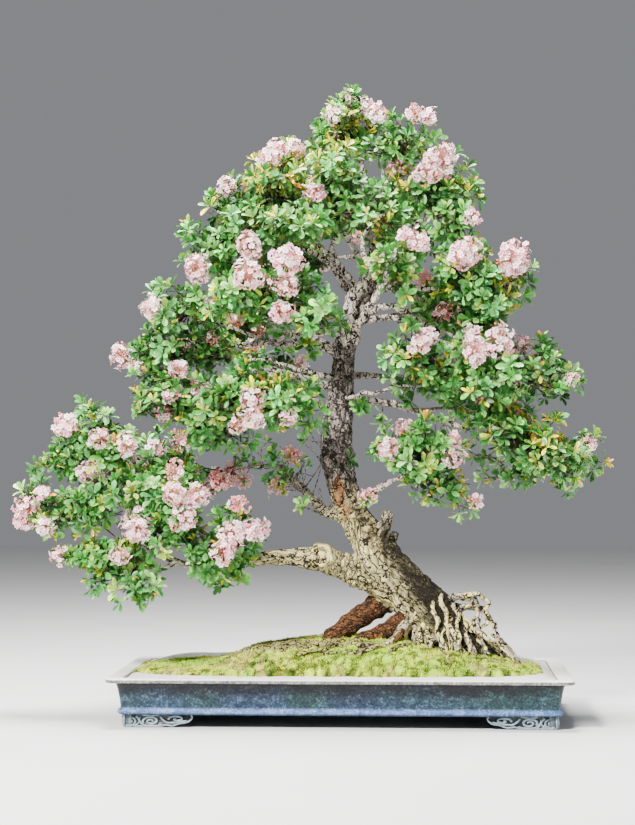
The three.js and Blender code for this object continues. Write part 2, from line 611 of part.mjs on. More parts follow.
function traySolid() {
  const profileRing = ([inset, z]) => {
    const [halfX, halfY] = [HALF_LENGTH - inset, HALF_DEPTH - inset];
    return rectangle(halfX, halfY, z, OUTER_CORNER_RADIUS, false, OUTER_CORNER_POINTS);
  };
  const outside = solidOf(loft(TRAY_PROFILE.map(profileRing)));
  const cavity = solidOf(loft([cavityRing(FLOOR_TOP, 0), cavityRing(TRAY_HEIGHT + 5, 0)]));
  let tray = outside.subtract(cavity);
  for (const sx of [-1, 1]) {
    const drain = new THREE.CylinderGeometry(DRAIN_RADIUS, DRAIN_RADIUS, 40, 14).rotateX(Math.PI / 2);
    drain.translate((sx * DRAIN_SPACING) / 2, 0, FLOOR_TOP - 8);
    tray = tray.subtract(solidOf(drain));
    for (const sy of [-1, 1]) tray = tray.add(footSolid(sx, sy));
  }
  return tray;
}

// A square of drainage net over each hole.
const NET_SIZE = 60;
const NET_THICKNESS = 1.6;
const NET_CELLS = 2;
const NET_BAR = 4;

function netSolid(x) {
  const middle = FLOOR_TOP + GAP + NET_THICKNESS / 2;
  const pitch = (NET_SIZE - NET_BAR) / NET_CELLS;
  let net = solidOf(new THREE.BoxGeometry(NET_SIZE, NET_SIZE, NET_THICKNESS).translate(x, 0, middle));
  for (let i = 0; i < NET_CELLS; i++) {
    for (let j = 0; j < NET_CELLS; j++) {
      const hole = new THREE.BoxGeometry(pitch - NET_BAR, pitch - NET_BAR, 4 * NET_THICKNESS);
      const [dx, dy] = [i, j].map((n) => (n - (NET_CELLS - 1) / 2) * pitch);
      net = net.subtract(solidOf(hole.translate(x + dx, dy, middle)));
    }
  }
  return net;
}

// The room a net takes up under the soil.
function netRoom(x) {
  const size = NET_SIZE + 2 * GAP;
  const room = new THREE.BoxGeometry(size, size, 2 * (NET_THICKNESS + 2 * GAP));
  return solidOf(room.translate(x, 0, FLOOR_TOP));
}

// The planted ground: soil mounded under the tree, and pale sand round it, higher along the back.

const SOIL_SHELF = 80;
const SAND_AT_WALL = 90;
const SAND_AT_MOUND = 99;
const SAND_REAR_RISE = 6;
const SAND_CREST = 3; // how far the sand swells between the wall and the mound
const SAND_REAR_CREST = 11; // and how much more along the back
const REAR_SPREAD = 2.5; // how soon the sand rises from the ends towards the back
const MOUND_FRONT_SQUARENESS = 5; // 2 would be an oval
const MOUND_REAR_SQUARENESS = 1.6;
const RIDGE_HEIGHT = 56;
const RIDGE_X = 70;
const RIDGE_LEFT = 500;
const RIDGE_RIGHT = 345;
const RIDGE_ROUNDNESS = 1.6; // 1 would be a straight fall to each side
const SHOULDER_LOW_X = -270; // left of its shoulder the ridge sinks to a low bed
const SHOULDER_HIGH_X = -170;
const LOW_BED_SHARE = 0.2;
const SWELL_HEIGHT = 2.5; // low swells over the mound
const SWELL_LENGTH = 37;
const SWELL_TURN = 7;
const SWELL_SPREAD = 9;
const MOUND_RINGS = [0.86, 0.56, 0.22]; // shares of the way from the middle to the mound's edge

// How far a direction from the middle counts as towards the back, from 0 to 1.
function rearShare(direction) {
  return Math.min(1, REAR_SPREAD * Math.max(0, direction.y));
}

function edgeHeight(direction) {
  return SAND_AT_MOUND + SAND_REAR_RISE * rearShare(direction);
}

// The mound's surface at a share e (0 to 1) of the way from its middle to its edge.
function moundHeight(x, direction, e) {
  const side = x < RIDGE_X ? RIDGE_LEFT : RIDGE_RIGHT;
  const bed = THREE.MathUtils.smoothstep(x, SHOULDER_LOW_X, SHOULDER_HIGH_X);
  const shoulder = THREE.MathUtils.lerp(LOW_BED_SHARE, 1, bed);
  const fall = Math.min(1, Math.abs((x - RIDGE_X) / side)) ** RIDGE_ROUNDNESS;
  const ridge = RIDGE_HEIGHT * (1 - fall) * shoulder;
  const across = Math.cos(SWELL_TURN * direction.x + SWELL_SPREAD * e);
  const swell = SWELL_HEIGHT * Math.sin(x / SWELL_LENGTH) * across;
  return edgeHeight(direction) * e ** 2 + SAND_AT_MOUND * (1 - e ** 2) + (ridge + swell) * (1 - e ** 4);
}

// The distance from the mound's middle to its edge: nearly square in front, pointed at the rear's ends.
function moundReach(direction) {
  const front = direction.y < 0;
  const n = front ? MOUND_FRONT_SQUARENESS : MOUND_REAR_SQUARENESS;
  const depth = front ? MOUND_FRONT_DEPTH : MOUND_REAR_DEPTH;
  return (Math.abs(direction.x / MOUND_HALF_LENGTH) ** n + Math.abs(direction.y / depth) ** n) ** (-1 / n);
}

// A ring round the mound's middle, scaled to a share of its outline, on the mound or at a given height.
function moundRing(e, inward = 0, height = null) {
  return rectangle(HALF_LENGTH, HALF_DEPTH, 0, CORNER_RADIUS, true).map((p) => {
    const d = p.clone().normalize();
    const reach = moundReach(d) - inward;
    const x = MOUND_CENTRE_X + d.x * reach * e;
    return new THREE.Vector3(x, d.y * reach * e, height ?? moundHeight(x, d, e));
  });
}

function soilSolid() {
  return solidOf(
    loft([
      cavityRing(FLOOR_TOP + GAP, GAP, true),
      cavityRing(SOIL_SHELF, GAP, true),
      moundRing(1, GAP, SOIL_SHELF),
      moundRing(1, GAP),
      ...MOUND_RINGS.map((e) => moundRing(e)),
    ]),
  );
}

function sandSolid() {
  const outer = (z) => cavityRing(z, GAP, true);
  const top = outer(SAND_AT_WALL);
  const inner = moundRing(1);
  const crest = top.map((p, i) => {
    const middle = p.clone().lerp(inner[i], 0.5);
    middle.z += SAND_CREST + SAND_REAR_CREST * rearShare(p.clone().setZ(0).normalize());
    return middle;
  });
  return solidOf(loft([outer(SOIL_SHELF + GAP), top, crest, inner, moundRing(1, 0, SOIL_SHELF + GAP)], true));
}

// Materials

const MATERIALS = {
  glaze: new THREE.MeshStandardMaterial({ color: 0x6f95a6, roughness: 0.3, metalness: 0 }),
  bark: new THREE.MeshStandardMaterial({ color: 0x8d8166, roughness: 0.9, metalness: 0 }),
  leaf: new THREE.MeshStandardMaterial({ color: 0x5b9a4c, roughness: 0.45, metalness: 0 }),
  petal: new THREE.MeshStandardMaterial({ color: 0xe9c0ca, roughness: 0.6, metalness: 0 }),
  sand: new THREE.MeshStandardMaterial({ color: 0xe9e6dc, roughness: 0.95, metalness: 0 }),
  soil: new THREE.MeshStandardMaterial({ color: 0x4a3728, roughness: 1, metalness: 0 }),
  net: new THREE.MeshStandardMaterial({ color: 0x20221f, roughness: 0.7, metalness: 0 }),
};

function meshOf(name, solid, material) {
  const { numProp, vertProperties, triVerts, numVert } = solid.getMesh();
  const positions = [];
  for (let i = 0; i < numVert; i++) {
    positions.push(...vertProperties.subarray(i * numProp, i * numProp + 3));
  }
  const mesh = new THREE.Mesh(geometryOf(positions, [...triVerts]), MATERIALS[material]);
  mesh.name = name;
  return mesh;
}

// Putting it together

const bonsai = new THREE.Group();
const wood = woodSolid(0);
const woodGrown = woodSolid(GAP);
const nets = [-1, 1].map((sx) => netSolid((sx * DRAIN_SPACING) / 2));
const netsGrown = [-1, 1].map((sx) => netRoom((sx * DRAIN_SPACING) / 2));

bonsai.add(meshOf("tray", traySolid(), "glaze"));
bonsai.add(meshOf("drain_net_left", nets[0], "net"));
bonsai.add(meshOf("drain_net_right", nets[1], "net"));
bonsai.add(meshOf("soil", largest(cutBy(soilSolid(), [woodGrown, ...netsGrown])), "soil"));
bonsai.add(meshOf("sand_border", largest(sandSolid().subtract(woodGrown)), "sand"));
bonsai.add(meshOf("trunk", wood, "bark"));

const frames = {};
const grownFrames = {};
for (const name of Object.keys(SPRAYS)) {
  const others = Object.values(grownFrames);
  frames[name] = largest(cutBy(sprayFrame(name, 0), [woodGrown, ...others]));
  grownFrames[name] = sprayFrame(name, GAP);
}

const blooms = [];
for (const [spray, x, y, z, radius] of BLOOMS) {
  const bloom = cutBy(bloomSolid(spray, x, y, z, radius), [woodGrown, ...Object.values(grownFrames)]);
  blooms.push(largest(bloom));
}
blooms.forEach((solid, i) => {
  bonsai.add(meshOf(`bloom_${String(i + 1).padStart(2, "0")}`, solid, "petal"));
});

// Leaves go on where they clear the wood, the flowers, every other spray and one another.
const LEAF_CLEARANCE = 0.5;
const LEAF_TRIES = 10;
const LEAVES_PER_TUFT = 4.9;
const USUAL_TUFT_SIZE = 104; // half width plus half height
const LOWEST_LEAF = -0.72;

function growLeaves(tuft, neighbours) {
  const core = tuftCore(tuft);
  const kernel = ellipsoid(core.centre, core.rx, core.ry, core.rz, GAP);
  const count = Math.round((LEAVES_PER_TUFT * (tuft[3] + tuft[4])) / USUAL_TUFT_SIZE);
  const lean = new THREE.Vector3(between(-0.4, 0.4), between(-0.4, 0.4), 1).normalize();
  const leaves = [];
  for (const face of spreadFaces(count, lean, LOWEST_LEAF)) {
    for (let tries = 0; tries < LEAF_TRIES; tries++) {
      const { root, along, up, length } = leafPlace(core, face, tries);
      const room = leafSolid(root, along, up, length, LEAF_CLEARANCE);
      if (neighbours.some((o) => touches(room, o))) continue;
      const blade = room.subtract(kernel);
      if (leaves.some((o) => touches(blade, o))) continue;
      leaves.push(leafSolid(root, along, up, length, 0));
      break;
    }
  }
  return leaves;
}

const sprays = { ...frames };
for (const [name, [, tufts]] of Object.entries(SPRAYS)) {
  const others = Object.keys(sprays).filter((n) => n !== name).map((n) => sprays[n]);
  const neighbours = [wood, ...blooms, ...others].filter((o) => boxesMeet(o, frames[name], 80));
  const grown = [];
  for (const tuft of tufts) grown.push(...growLeaves(tuft, [...neighbours, ...grown]));
  sprays[name] = grown.reduce((a, b) => a.add(b), frames[name]);
  bonsai.add(meshOf(`spray_${name}`, largest(sprays[name]), "leaf"));
}

// The frame's origin is under the middle of the whole, on the surface that the feet stand on.
const box = new THREE.Box3().setFromObject(bonsai);
bonsai.position.set(-(box.min.x + box.max.x) / 2, -(box.min.y + box.max.y) / 2, -box.min.z);

export default bonsai;
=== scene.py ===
import math
from itertools import product

import bpy
import numpy as np
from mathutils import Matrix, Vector
from mathutils.bvhtree import BVHTree
from mathutils.kdtree import KDTree


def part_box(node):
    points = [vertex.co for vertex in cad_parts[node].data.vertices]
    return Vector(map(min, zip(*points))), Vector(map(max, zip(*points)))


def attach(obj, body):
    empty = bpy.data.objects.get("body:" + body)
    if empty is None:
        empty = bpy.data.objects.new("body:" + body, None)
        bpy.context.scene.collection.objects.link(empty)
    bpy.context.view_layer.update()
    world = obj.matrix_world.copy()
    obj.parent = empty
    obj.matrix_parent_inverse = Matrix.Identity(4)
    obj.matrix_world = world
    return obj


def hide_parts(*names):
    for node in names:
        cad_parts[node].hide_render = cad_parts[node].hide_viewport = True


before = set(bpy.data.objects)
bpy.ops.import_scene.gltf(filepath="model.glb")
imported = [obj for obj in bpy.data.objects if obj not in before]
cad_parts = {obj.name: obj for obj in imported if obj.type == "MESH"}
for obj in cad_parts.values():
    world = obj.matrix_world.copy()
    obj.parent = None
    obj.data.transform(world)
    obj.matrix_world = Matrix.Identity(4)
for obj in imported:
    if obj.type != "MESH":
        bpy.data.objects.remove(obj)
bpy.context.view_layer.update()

# The tray's middle in the row frame. Places below are from it, as in the CAD source.
tray_low, tray_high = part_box("tray")
OX = (tray_low.x + tray_high.x) / 2
OY = (tray_low.y + tray_high.y) / 2
MM = 0.001
TURN = 2 * math.pi


def link(obj):
    bpy.context.scene.collection.objects.link(obj)
    return obj


def aim(obj, ahead):
    """Turns a camera or a lamp to look along a direction."""
    obj.rotation_mode = "QUATERNION"
    obj.rotation_quaternion = ahead.to_track_quat("-Z", "Y")


# Camera: the photograph's frame is taken as 635 by 825 pixels

PICTURE_HEIGHT = 825
FOCAL_PIXELS = 2030
SENSOR = 36.0
CAMERA_PLACE = (0.1633, -4.1248, 0.497)
CAMERA_TURN = math.radians(3.0)
CAMERA_PITCH = math.radians(1.62)

camera = link(bpy.data.objects.new("camera", bpy.data.cameras.new("camera")))
camera.data.sensor_width = SENSOR
camera.data.lens = FOCAL_PIXELS * SENSOR / PICTURE_HEIGHT
camera.data.clip_start = 0.1
camera.data.clip_end = 50
camera.location = (CAMERA_PLACE[0] + OX, CAMERA_PLACE[1] + OY, CAMERA_PLACE[2])
level = math.cos(CAMERA_PITCH)
aim(camera, Vector((-math.sin(CAMERA_TURN) * level, math.cos(CAMERA_TURN) * level, math.sin(CAMERA_PITCH))))
bpy.context.scene.camera = camera


# Materials


class Nodes:
    """A material's node tree, built line by line."""

    def __init__(self, name):
        self.material = bpy.data.materials.new(name)
        self.material.use_nodes = True
        self.tree = self.material.node_tree
        self.tree.nodes.clear()
        self.shader = self.new("BsdfPrincipled")
        self.new("OutputMaterial", Surface=self.shader.outputs["BSDF"])
        self.place = self.new("TexCoord").outputs["Object"]

    def new(self, kind, **inputs):
        node = self.tree.nodes.new("ShaderNode" + kind)
        for name, value in inputs.items():
            self.feed(node.inputs[name.replace("_", " ")], value)
        return node

    def feed(self, socket, value):
        if isinstance(value, bpy.types.NodeSocket):
            self.tree.links.new(value, socket)
        else:
            socket.default_value = value

    def noise(self, scale, detail=4.0, rough=0.55, at=None):
        at = at or self.place
        return self.new("TexNoise", Scale=scale, Detail=detail, Roughness=rough, Vector=at).outputs["Fac"]

    def cells(self, scale, feature="F1", at=None):
        n = self.new("TexVoronoi", Scale=scale, Vector=at or self.place)
        n.feature = feature
        return n.outputs["Distance"]

    def stretched(self, x, y, z):
        return self.new("Mapping", Scale=(x, y, z), Vector=self.place).outputs["Vector"]

    def attribute(self, name, output="Color"):
        n = self.new("Attribute")
        n.attribute_name = name
        return n.outputs[output]

    def vary(self, low, high, scale):
        """A number that wanders between two values over the surface."""
        limits = {"From_Min": 0.3, "From_Max": 0.7, "To_Min": low, "To_Max": high}
        return self.new("MapRange", Value=self.noise(scale, 2), **limits).outputs["Result"]

    def ramp(self, factor, *stops):
        """Colours along a factor, where a single number stands for a grey."""
        n = self.new("ValToRGB", Fac=factor)
        while len(n.color_ramp.elements) < len(stops):
            n.color_ramp.elements.new(0.5)
        for e, (at, colour) in zip(n.color_ramp.elements, stops):
            e.position = at
            e.color = (*colour, 1) if isinstance(colour, tuple) else (colour, colour, colour, 1)
        return n.outputs["Color"]

    def mix(self, factor, a, b, blend="MIX"):
        n = self.new("Mix")
        n.data_type = "RGBA"
        n.blend_type = blend
        for name, value in (("Factor", factor), ("A", a), ("B", b)):
            self.feed(n.inputs[name], (*value, 1) if isinstance(value, tuple) else value)
        return n.outputs["Result"]

    def times(self, a, b):
        return self.mix(1.0, a, b, "MULTIPLY")

    def math(self, operation, a, b):
        n = self.new("Math")
        n.operation = operation
        self.feed(n.inputs[0], a)
        self.feed(n.inputs[1], b)
        return n.outputs["Value"]

    def bump(self, height, strength, distance):
        n = self.new("Bump", Height=height, Strength=strength, Distance=distance)
        self.feed(self.shader.inputs["Normal"], n.outputs["Normal"])

    def finish(self, colour, rough, specular):
        self.feed(self.shader.inputs["Base Color"], colour)
        self.feed(self.shader.inputs["Roughness"], rough)
        self.shader.inputs["Specular IOR Level"].default_value = specular
        return self.material


def tinted_material(name, noise, stops, bump_noise, bump, rough, specular):
    """Each corner's own tint, under a fine mottle."""
    m = Nodes(name)
    m.bump(m.noise(*bump_noise), *bump)
    return m.finish(m.times(m.attribute("tint"), m.ramp(m.noise(*noise), *stops)), m.vary(*rough), specular)


def plain_material(name, dark, light, scale, low_rough, high_rough):
    m = Nodes(name)
    m.bump(m.noise(scale * 2, 3), 0.3, 0.001)
    colour = m.ramp(m.noise(scale, 4), (0.35, dark), (0.65, light))
    return m.finish(colour, m.vary(low_rough, high_rough, scale), 0.3)


BARK_CRACK = (0.016, 0.011, 0.008)


def bark_material():
    """Plates with dark cracks. The tint's alpha is 1 where plates are whole and 0 where the bark is broken up."""
    m = Nodes("bark")
    wander = m.new("TexNoise", Scale=75, Vector=m.place).outputs["Color"]
    grain = m.mix(0.02, m.attribute("grain", "Vector"), wander)
    fray = m.math("MULTIPLY", m.math("SUBTRACT", m.noise(110, 4, 0.7, grain), 0.5), 0.34)
    plates = m.math("ADD", m.cells(76, "DISTANCE_TO_EDGE", grain), fray)
    flecks = m.noise(210, 5, 0.8, grain)
    crumbs = m.noise(330, 4, 0.75, grain)
    broken = m.ramp(crumbs, (0.42, (0.12, 0.1, 0.09)), (0.5, (0.7, 0.68, 0.65)), (0.62, (2.0, 1.95, 1.88)))
    whole = m.ramp(flecks, (0.3, (0.5, 0.46, 0.4)), (0.42, (0.98, 0.97, 0.94)), (0.6, (1.3, 1.28, 1.2)))
    colour = m.times(m.attribute("tint"), m.mix(m.attribute("tint", "Alpha"), broken, whole))
    colour = m.times(colour, m.ramp(m.noise(420, 4, 0.75), (0.35, 0.7), (0.65, 1.2)))
    colour = m.times(colour, m.ramp(m.noise(24, 4, 0.6), (0.36, (0.74, 0.74, 0.72)), (0.6, (1.12, 1.1, 1.04))))
    colour = m.mix(m.ramp(plates, (0.0, 1), (0.055, 0.97), (0.095, 0)), colour, BARK_CRACK)
    relief = m.math("MULTIPLY", m.math("MINIMUM", flecks, 0.6), 0.45)
    m.bump(m.math("ADD", m.math("MINIMUM", plates, 0.2), relief), 1.0, 0.014)
    return m.finish(colour, m.vary(0.75, 0.95, 90), 0.2)


TRAY_HEIGHT = 0.096
# Glaze colours at rising levels of the mottle
GLAZE_BLUE = ((0.004, 0.008, 0.018), (0.01, 0.021, 0.043), (0.026, 0.054, 0.1), (0.12, 0.2, 0.31))
GLAZE_TEAL = ((0.004, 0.01, 0.012), (0.009, 0.024, 0.029), (0.022, 0.06, 0.068), (0.1, 0.22, 0.23))
GLAZE_DARK = ((0.003, 0.003, 0.004), (0.007, 0.007, 0.009), (0.017, 0.018, 0.023), (0.07, 0.076, 0.09))
GLAZE_BEAD = ((0.035, 0.07, 0.17), (0.095, 0.165, 0.36), (0.28, 0.42, 0.74))
GLAZE_EDGE = (0.05, (0.2, 0.2, 0.19), (0.5, 0.5, 0.47))


def glaze_material():
    """Mottled blue to teal below, dark above, a bead round the foot in a paler blue that is partly a painted
    highlight, and a lip painted near white, partly its own pale colour and partly a painted highlight.
    """
    m = Nodes("glaze")
    height = m.new("SeparateXYZ", Vector=m.place).outputs["Z"]
    z = m.math("DIVIDE", height, TRAY_HEIGHT)
    fine = m.math("MULTIPLY", m.noise(210, 5, 0.8), 0.62)
    middle = m.math("MULTIPLY", m.noise(60, 4, 0.7, m.stretched(0.8, 1.0, 1.2)), 0.38)
    mottle = m.math("ADD", fine, middle)

    def mottled(levels, colours):
        return m.ramp(mottle, *zip(levels, colours))

    blue, teal = (mottled((0.38, 0.46, 0.54, 0.64), colours) for colours in (GLAZE_BLUE, GLAZE_TEAL))
    hue = m.noise(7, 3, 0.5, m.stretched(1.0, 1.0, 0.4))
    low = m.mix(m.ramp(hue, (0.42, 0), (0.58, 1)), blue, teal)
    broad = m.noise(11, 4, 0.6, m.stretched(0.6, 1.0, 1.6))
    upward = m.math("ADD", z, m.math("MULTIPLY", m.math("SUBTRACT", broad, 0.5), 0.5))
    body = m.mix(m.ramp(upward, (0.5, 0), (0.86, 1)), low, mottled((0.38, 0.48, 0.56, 0.66), GLAZE_DARK))
    is_bead = m.math("MULTIPLY", m.ramp(z, (0.27, 0), (0.31, 1)), m.ramp(z, (0.37, 1), (0.42, 0)))
    # The bead's paler blue: partly its glaze, partly a painted highlight along its crest
    body = m.mix(is_bead, body, mottled((0.4, 0.5, 0.62), GLAZE_BEAD))
    body = m.mix(m.ramp(z, (0.9, 0), (0.92, 1)), body, mottled((0.4, 0.5, 0.62), GLAZE_EDGE))
    # The lip's near white: its own pale colour, brightened into a painted highlight
    lip = m.ramp(m.noise(30, 5), (0.3, (0.92, 0.92, 0.91)), (0.6, (0.99, 0.99, 0.985)))
    body = m.mix(m.ramp(z, (0.972, 0), (0.99, 1)), body, lip)
    m.bump(mottle, 0.5, 0.0022)
    m.shader.inputs["Coat Weight"].default_value = 0.05
    m.shader.inputs["Coat Roughness"].default_value = 0.25
    return m.finish(m.times(body, (0.92, 0.9, 0.88)), m.vary(0.3, 0.5, 85), 0.2)


def sand_material():
    m = Nodes("sand")
    grain = m.ramp(m.cells(620), (0.05, (0.97, 0.965, 0.95)), (0.4, (0.9, 0.89, 0.87)), (0.7, (0.68, 0.66, 0.62)))
    stain = m.ramp(m.noise(12, 4), (0.35, (0.93, 0.925, 0.88)), (0.6, 1))
    m.bump(m.cells(620), 0.6, 0.0015)
    return m.finish(m.times(grain, stain), m.vary(0.75, 0.9, 200), 0.3)


LEAF_MOTTLE = ((0.3, (0.78, 0.8, 0.74)), (0.7, (1.2, 1.18, 1.12)))
PETAL_VEINS = ((0.35, (0.95, 0.9, 0.9)), (0.65, 1.05))
FOOT_STAIN = ((0.34, (0.4, 0.44, 0.46)), (0.5, (0.95, 0.97, 0.97)), (0.68, (1.6, 1.6, 1.55)))
MOSS_FUZZ = ((0.3, (0.6, 0.62, 0.5)), (0.5, (1.22, 1.22, 1.08)), (0.72, (1.9, 1.85, 1.45)))

LEAF = tinted_material("leaf", (260, 3), LEAF_MOTTLE, (420, 2), (0.25, 0.0006), (0.3, 0.5, 150), 0.42)
PETAL = tinted_material("petal", (700, 2), PETAL_VEINS, (900, 2), (0.2, 0.0003), (0.45, 0.6, 300), 0.35)
BARK = bark_material()
GLAZE = glaze_material()
MOSS = tinted_material("moss", (520, 4, 0.7), MOSS_FUZZ, (330, 5, 0.75), (1.0, 0.006), (0.8, 0.95, 60), 0.15)
SAND = sand_material()
FOOT = tinted_material("foot", (150, 5, 0.75), FOOT_STAIN, (210, 4, 0.7), (0.4, 0.0015), (0.3, 0.5, 85), 0.5)
SOIL = plain_material("soil", (0.03, 0.02, 0.012), (0.1, 0.065, 0.04), 120, 0.85, 0.98)
NET = plain_material("net", (0.012, 0.013, 0.012), (0.03, 0.032, 0.03), 200, 0.5, 0.7)


# Mesh helpers


def make(name, verts, faces, material, tints=None, smooth=True, grain=None):
    mesh = bpy.data.meshes.new(name)
    mesh.from_pydata(np.asarray(verts, float).tolist(), [], [list(map(int, f)) for f in faces])
    mesh.materials.append(material)
    if tints is not None:
        colours = np.ones((len(mesh.vertices), 4), np.float32)
        colours[:, : np.shape(tints)[-1]] = tints
        mesh.color_attributes.new("tint", "FLOAT_COLOR", "POINT").data.foreach_set("color", colours.ravel())
    if grain is not None:
        layer = mesh.attributes.new("grain", "FLOAT_VECTOR", "POINT")
        layer.data.foreach_set("vector", grain.astype(np.float32).ravel())
    mesh.polygons.foreach_set("use_smooth", np.full(len(mesh.polygons), smooth))
    mesh.update()
    return link(bpy.data.objects.new(name, mesh))


def dress(obj, slot, *nodes):
    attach(obj, "root")
    if nodes:
        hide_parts(*nodes)


class Parts:
    """Corners, faces and tints of several parts that make one mesh."""

    def __init__(self):
        self.verts, self.faces, self.tints = [], [], []

    def add(self, verts, faces, tints):
        start = len(self.verts)
        self.verts.extend(verts)
        self.faces.extend(tuple(i + start for i in f) for f in faces)
        self.tints.extend(tints)


def node_mesh(name):
    """A CAD node's corners and triangles as arrays."""
    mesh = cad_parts[name].data
    mesh.calc_loop_triangles()
    co = np.empty(len(mesh.vertices) * 3, np.float32)
    mesh.vertices.foreach_get("co", co)
    tri = np.empty(len(mesh.loop_triangles) * 3, np.int32)
    mesh.loop_triangles.foreach_get("vertices", tri)
    return co.reshape(-1, 3).astype(float), tri.reshape(-1, 3)


def finished_mesh(obj):
    """A copy of an object's mesh with its modifiers applied."""
    return bpy.data.meshes.new_from_object(obj.evaluated_get(bpy.context.evaluated_depsgraph_get()))


def unit(v):
    return v / np.maximum(np.linalg.norm(v, axis=-1, keepdims=True), 1e-12)


def across(axis, hint):
    """Two directions square to an axis and to each other."""
    u = unit(np.cross(axis, np.array(hint)))
    return u, np.cross(axis, u)


def around(u, v, angle):
    """The direction at an angle from u towards v."""
    angle = np.asarray(angle)[..., None]
    return u * np.cos(angle) + v * np.sin(angle)


def rise(x, start, reach):
    """0 up to a start, then growing to 1 over a reach."""
    return np.clip((x - start) / reach, 0, 1)


def fall(x, end, reach):
    """1 at first, shrinking over a reach to 0 at its end."""
    return np.clip((end - x) / reach, 0, 1)


def hump(x, middle, width, power=2):
    """1 at a middle, going down to 0 on both sides."""
    return np.exp(-(((x - middle) / width) ** power))


def blend(a, b, share):
    """Colours a with each corner's own share of b."""
    share = share[:, None]
    return a * (1 - share) + np.asarray(b) * share


def tree_of(points):
    tree = KDTree(len(points))
    for i, p in enumerate(points):
        tree.insert(p, i)
    tree.balance()
    return tree


def grid_hash(cell, salt):
    """Seeded random numbers in 0 to 1 for whole-number cells."""
    c = cell.astype(np.int64)
    h = (c[..., 0] * 73856093) ^ (c[..., 1] * 19349663) ^ (c[..., 2] * 83492791) ^ (salt * 2654435761)
    h = (h ^ (h >> 13)) * 1274126177 & 0x7FFFFFFF
    h = (h ^ (h >> 16)) * 668265263 & 0x7FFFFFFF
    return (h % 1000003) / 1000003.0


def value_noise(p, scale, salt):
    q = p * scale
    base = np.floor(q)
    f = q - base
    f = f * f * (3 - 2 * f)
    total = np.zeros(len(p))
    for corner in product((0, 1), repeat=3):
        weight = np.prod(np.where(corner, f, 1 - f), 1)
        total += weight * grid_hash(base + corner, salt)
    return total


def layered_noise(p, scale, salt, layers=3):
    total = sum(0.5**i * value_noise(p, scale * 2**i, salt + i) for i in range(layers))
    return total / (2 - 2 ** (1 - layers))


def cell_noise(p, scale, salt):
    """Distances to the nearest and second nearest of scattered points, and the nearest one's own number."""
    q = p * scale
    base = np.floor(q)
    first, second, owner = np.full(len(p), 9.0), np.full(len(p), 9.0), np.zeros(len(p))
    for step in product((-1, 0, 1), repeat=3):
        cell = base + step
        d = np.linalg.norm(q - cell - np.stack([grid_hash(cell, salt + k) for k in range(3)], 1), axis=1)
        nearer = d < first
        second = np.where(nearer, first, np.minimum(second, d))
        owner = np.where(nearer, grid_hash(cell, salt + 7), owner)
        first = np.where(nearer, d, first)
    return first, second, owner


def furrow(first, second, width=0.34):
    """How deep a place lies in the furrow between two cells."""
    return 1 - rise(second, first, width)


def curve_through(points, steps):
    """A smooth polyline through profile points."""
    points = np.array(points, float)
    padded = np.vstack([2 * points[0] - points[1], points, 2 * points[-1] - points[-2]])
    out = []
    for i in range(len(points) - 1):
        a, b, c, d = padded[i : i + 4]
        for k in range(steps):
            t = k / steps
            bend = (2 * a - 5 * b + 4 * c - d) * t * t + (3 * b - a - 3 * c + d) * t**3
            out.append(0.5 * (2 * b + (c - a) * t + bend))
    out.append(points[-1])
    return np.array(out)


def ring_faces(rings, sides, start=0):
    """Quads between closed rings of corners that follow one another."""
    return [
        (r + j, r + (j + 1) % sides, r + sides + (j + 1) % sides, r + sides + j)
        for r in range(start, start + (rings - 1) * sides, sides)
        for j in range(sides)
    ]


TUBE_HINT = (0.35, 0.81, 0.47)


def tubes(paths, radii, sides):
    """Tapered tubes along short paths, all in one mesh."""
    verts, faces = [], []
    start = 0
    angles = np.arange(sides) * TURN / sides
    for path, radius in zip(paths, radii):
        path = np.asarray(path)
        u, v = across(unit(np.gradient(path, axis=0)), TUBE_HINT)
        ring = around(u[:, None], v[:, None], angles)
        verts.append((path[:, None] + np.asarray(radius)[:, None, None] * ring).reshape(-1, 3))
        faces += ring_faces(len(path), sides, start)
        faces.append(list(range(start, start + sides))[::-1])
        start += len(path) * sides
        faces.append(list(range(start - sides, start)))
    return np.concatenate(verts), faces


def swelling(thick, thin, wave, share):
    """Radii in metres from thick to thin millimetres, swelling and shrinking by a share on the way."""
    return np.linspace(thick, thin, len(wave)) * (1 + share * np.sin(wave)) * MM


def bark_tubes(name, tube_mesh, colour, dark, gain, noise, grain, whole=1):
    """Tubes as a piece of wood, with a tint that a noise makes lighter and darker."""
    verts, faces = tube_mesh
    tint = colour * (dark + gain * layered_noise(verts, *noise)[:, None])
    tint = np.concatenate([tint, np.full((len(verts), 1), whole)], 1)
    dress(make(name, verts, faces, BARK, tint, grain=verts * grain), "bark")


# Leaves

LEAF_OUTLINE = ((0.2, 0.09), (0.5, 0.21), (0.76, 0.24), (0.93, 0.13))
LEAF_MIDRIB = (0.0, 0.34, 0.68, 1.0)
LEAF_DROOP = 0.16
LEAF_FOLD = 0.32


def leaf_template():
    """An obovate leaf along +X with a sunken midrib and a drooping tip, one unit long."""
    verts = [(x, 0, -LEAF_DROOP * x * x) for x in LEAF_MIDRIB]
    for side in (1, -1):
        verts += [(x, side * w, LEAF_FOLD * w - LEAF_DROOP * x * x) for x, w in LEAF_OUTLINE]
    faces = []
    for start, flip in ((4, False), (8, True)):
        a, b, c, d = range(start, start + 4)
        for f in ((0, 1, a), (1, b, a), (1, 2, b), (2, c, b), (2, d, c), (2, 3, d)):
            faces.append(f[::-1] if flip else f)
    return np.array(verts), np.array(faces)


LEAF_VERTS, LEAF_FACES = leaf_template()


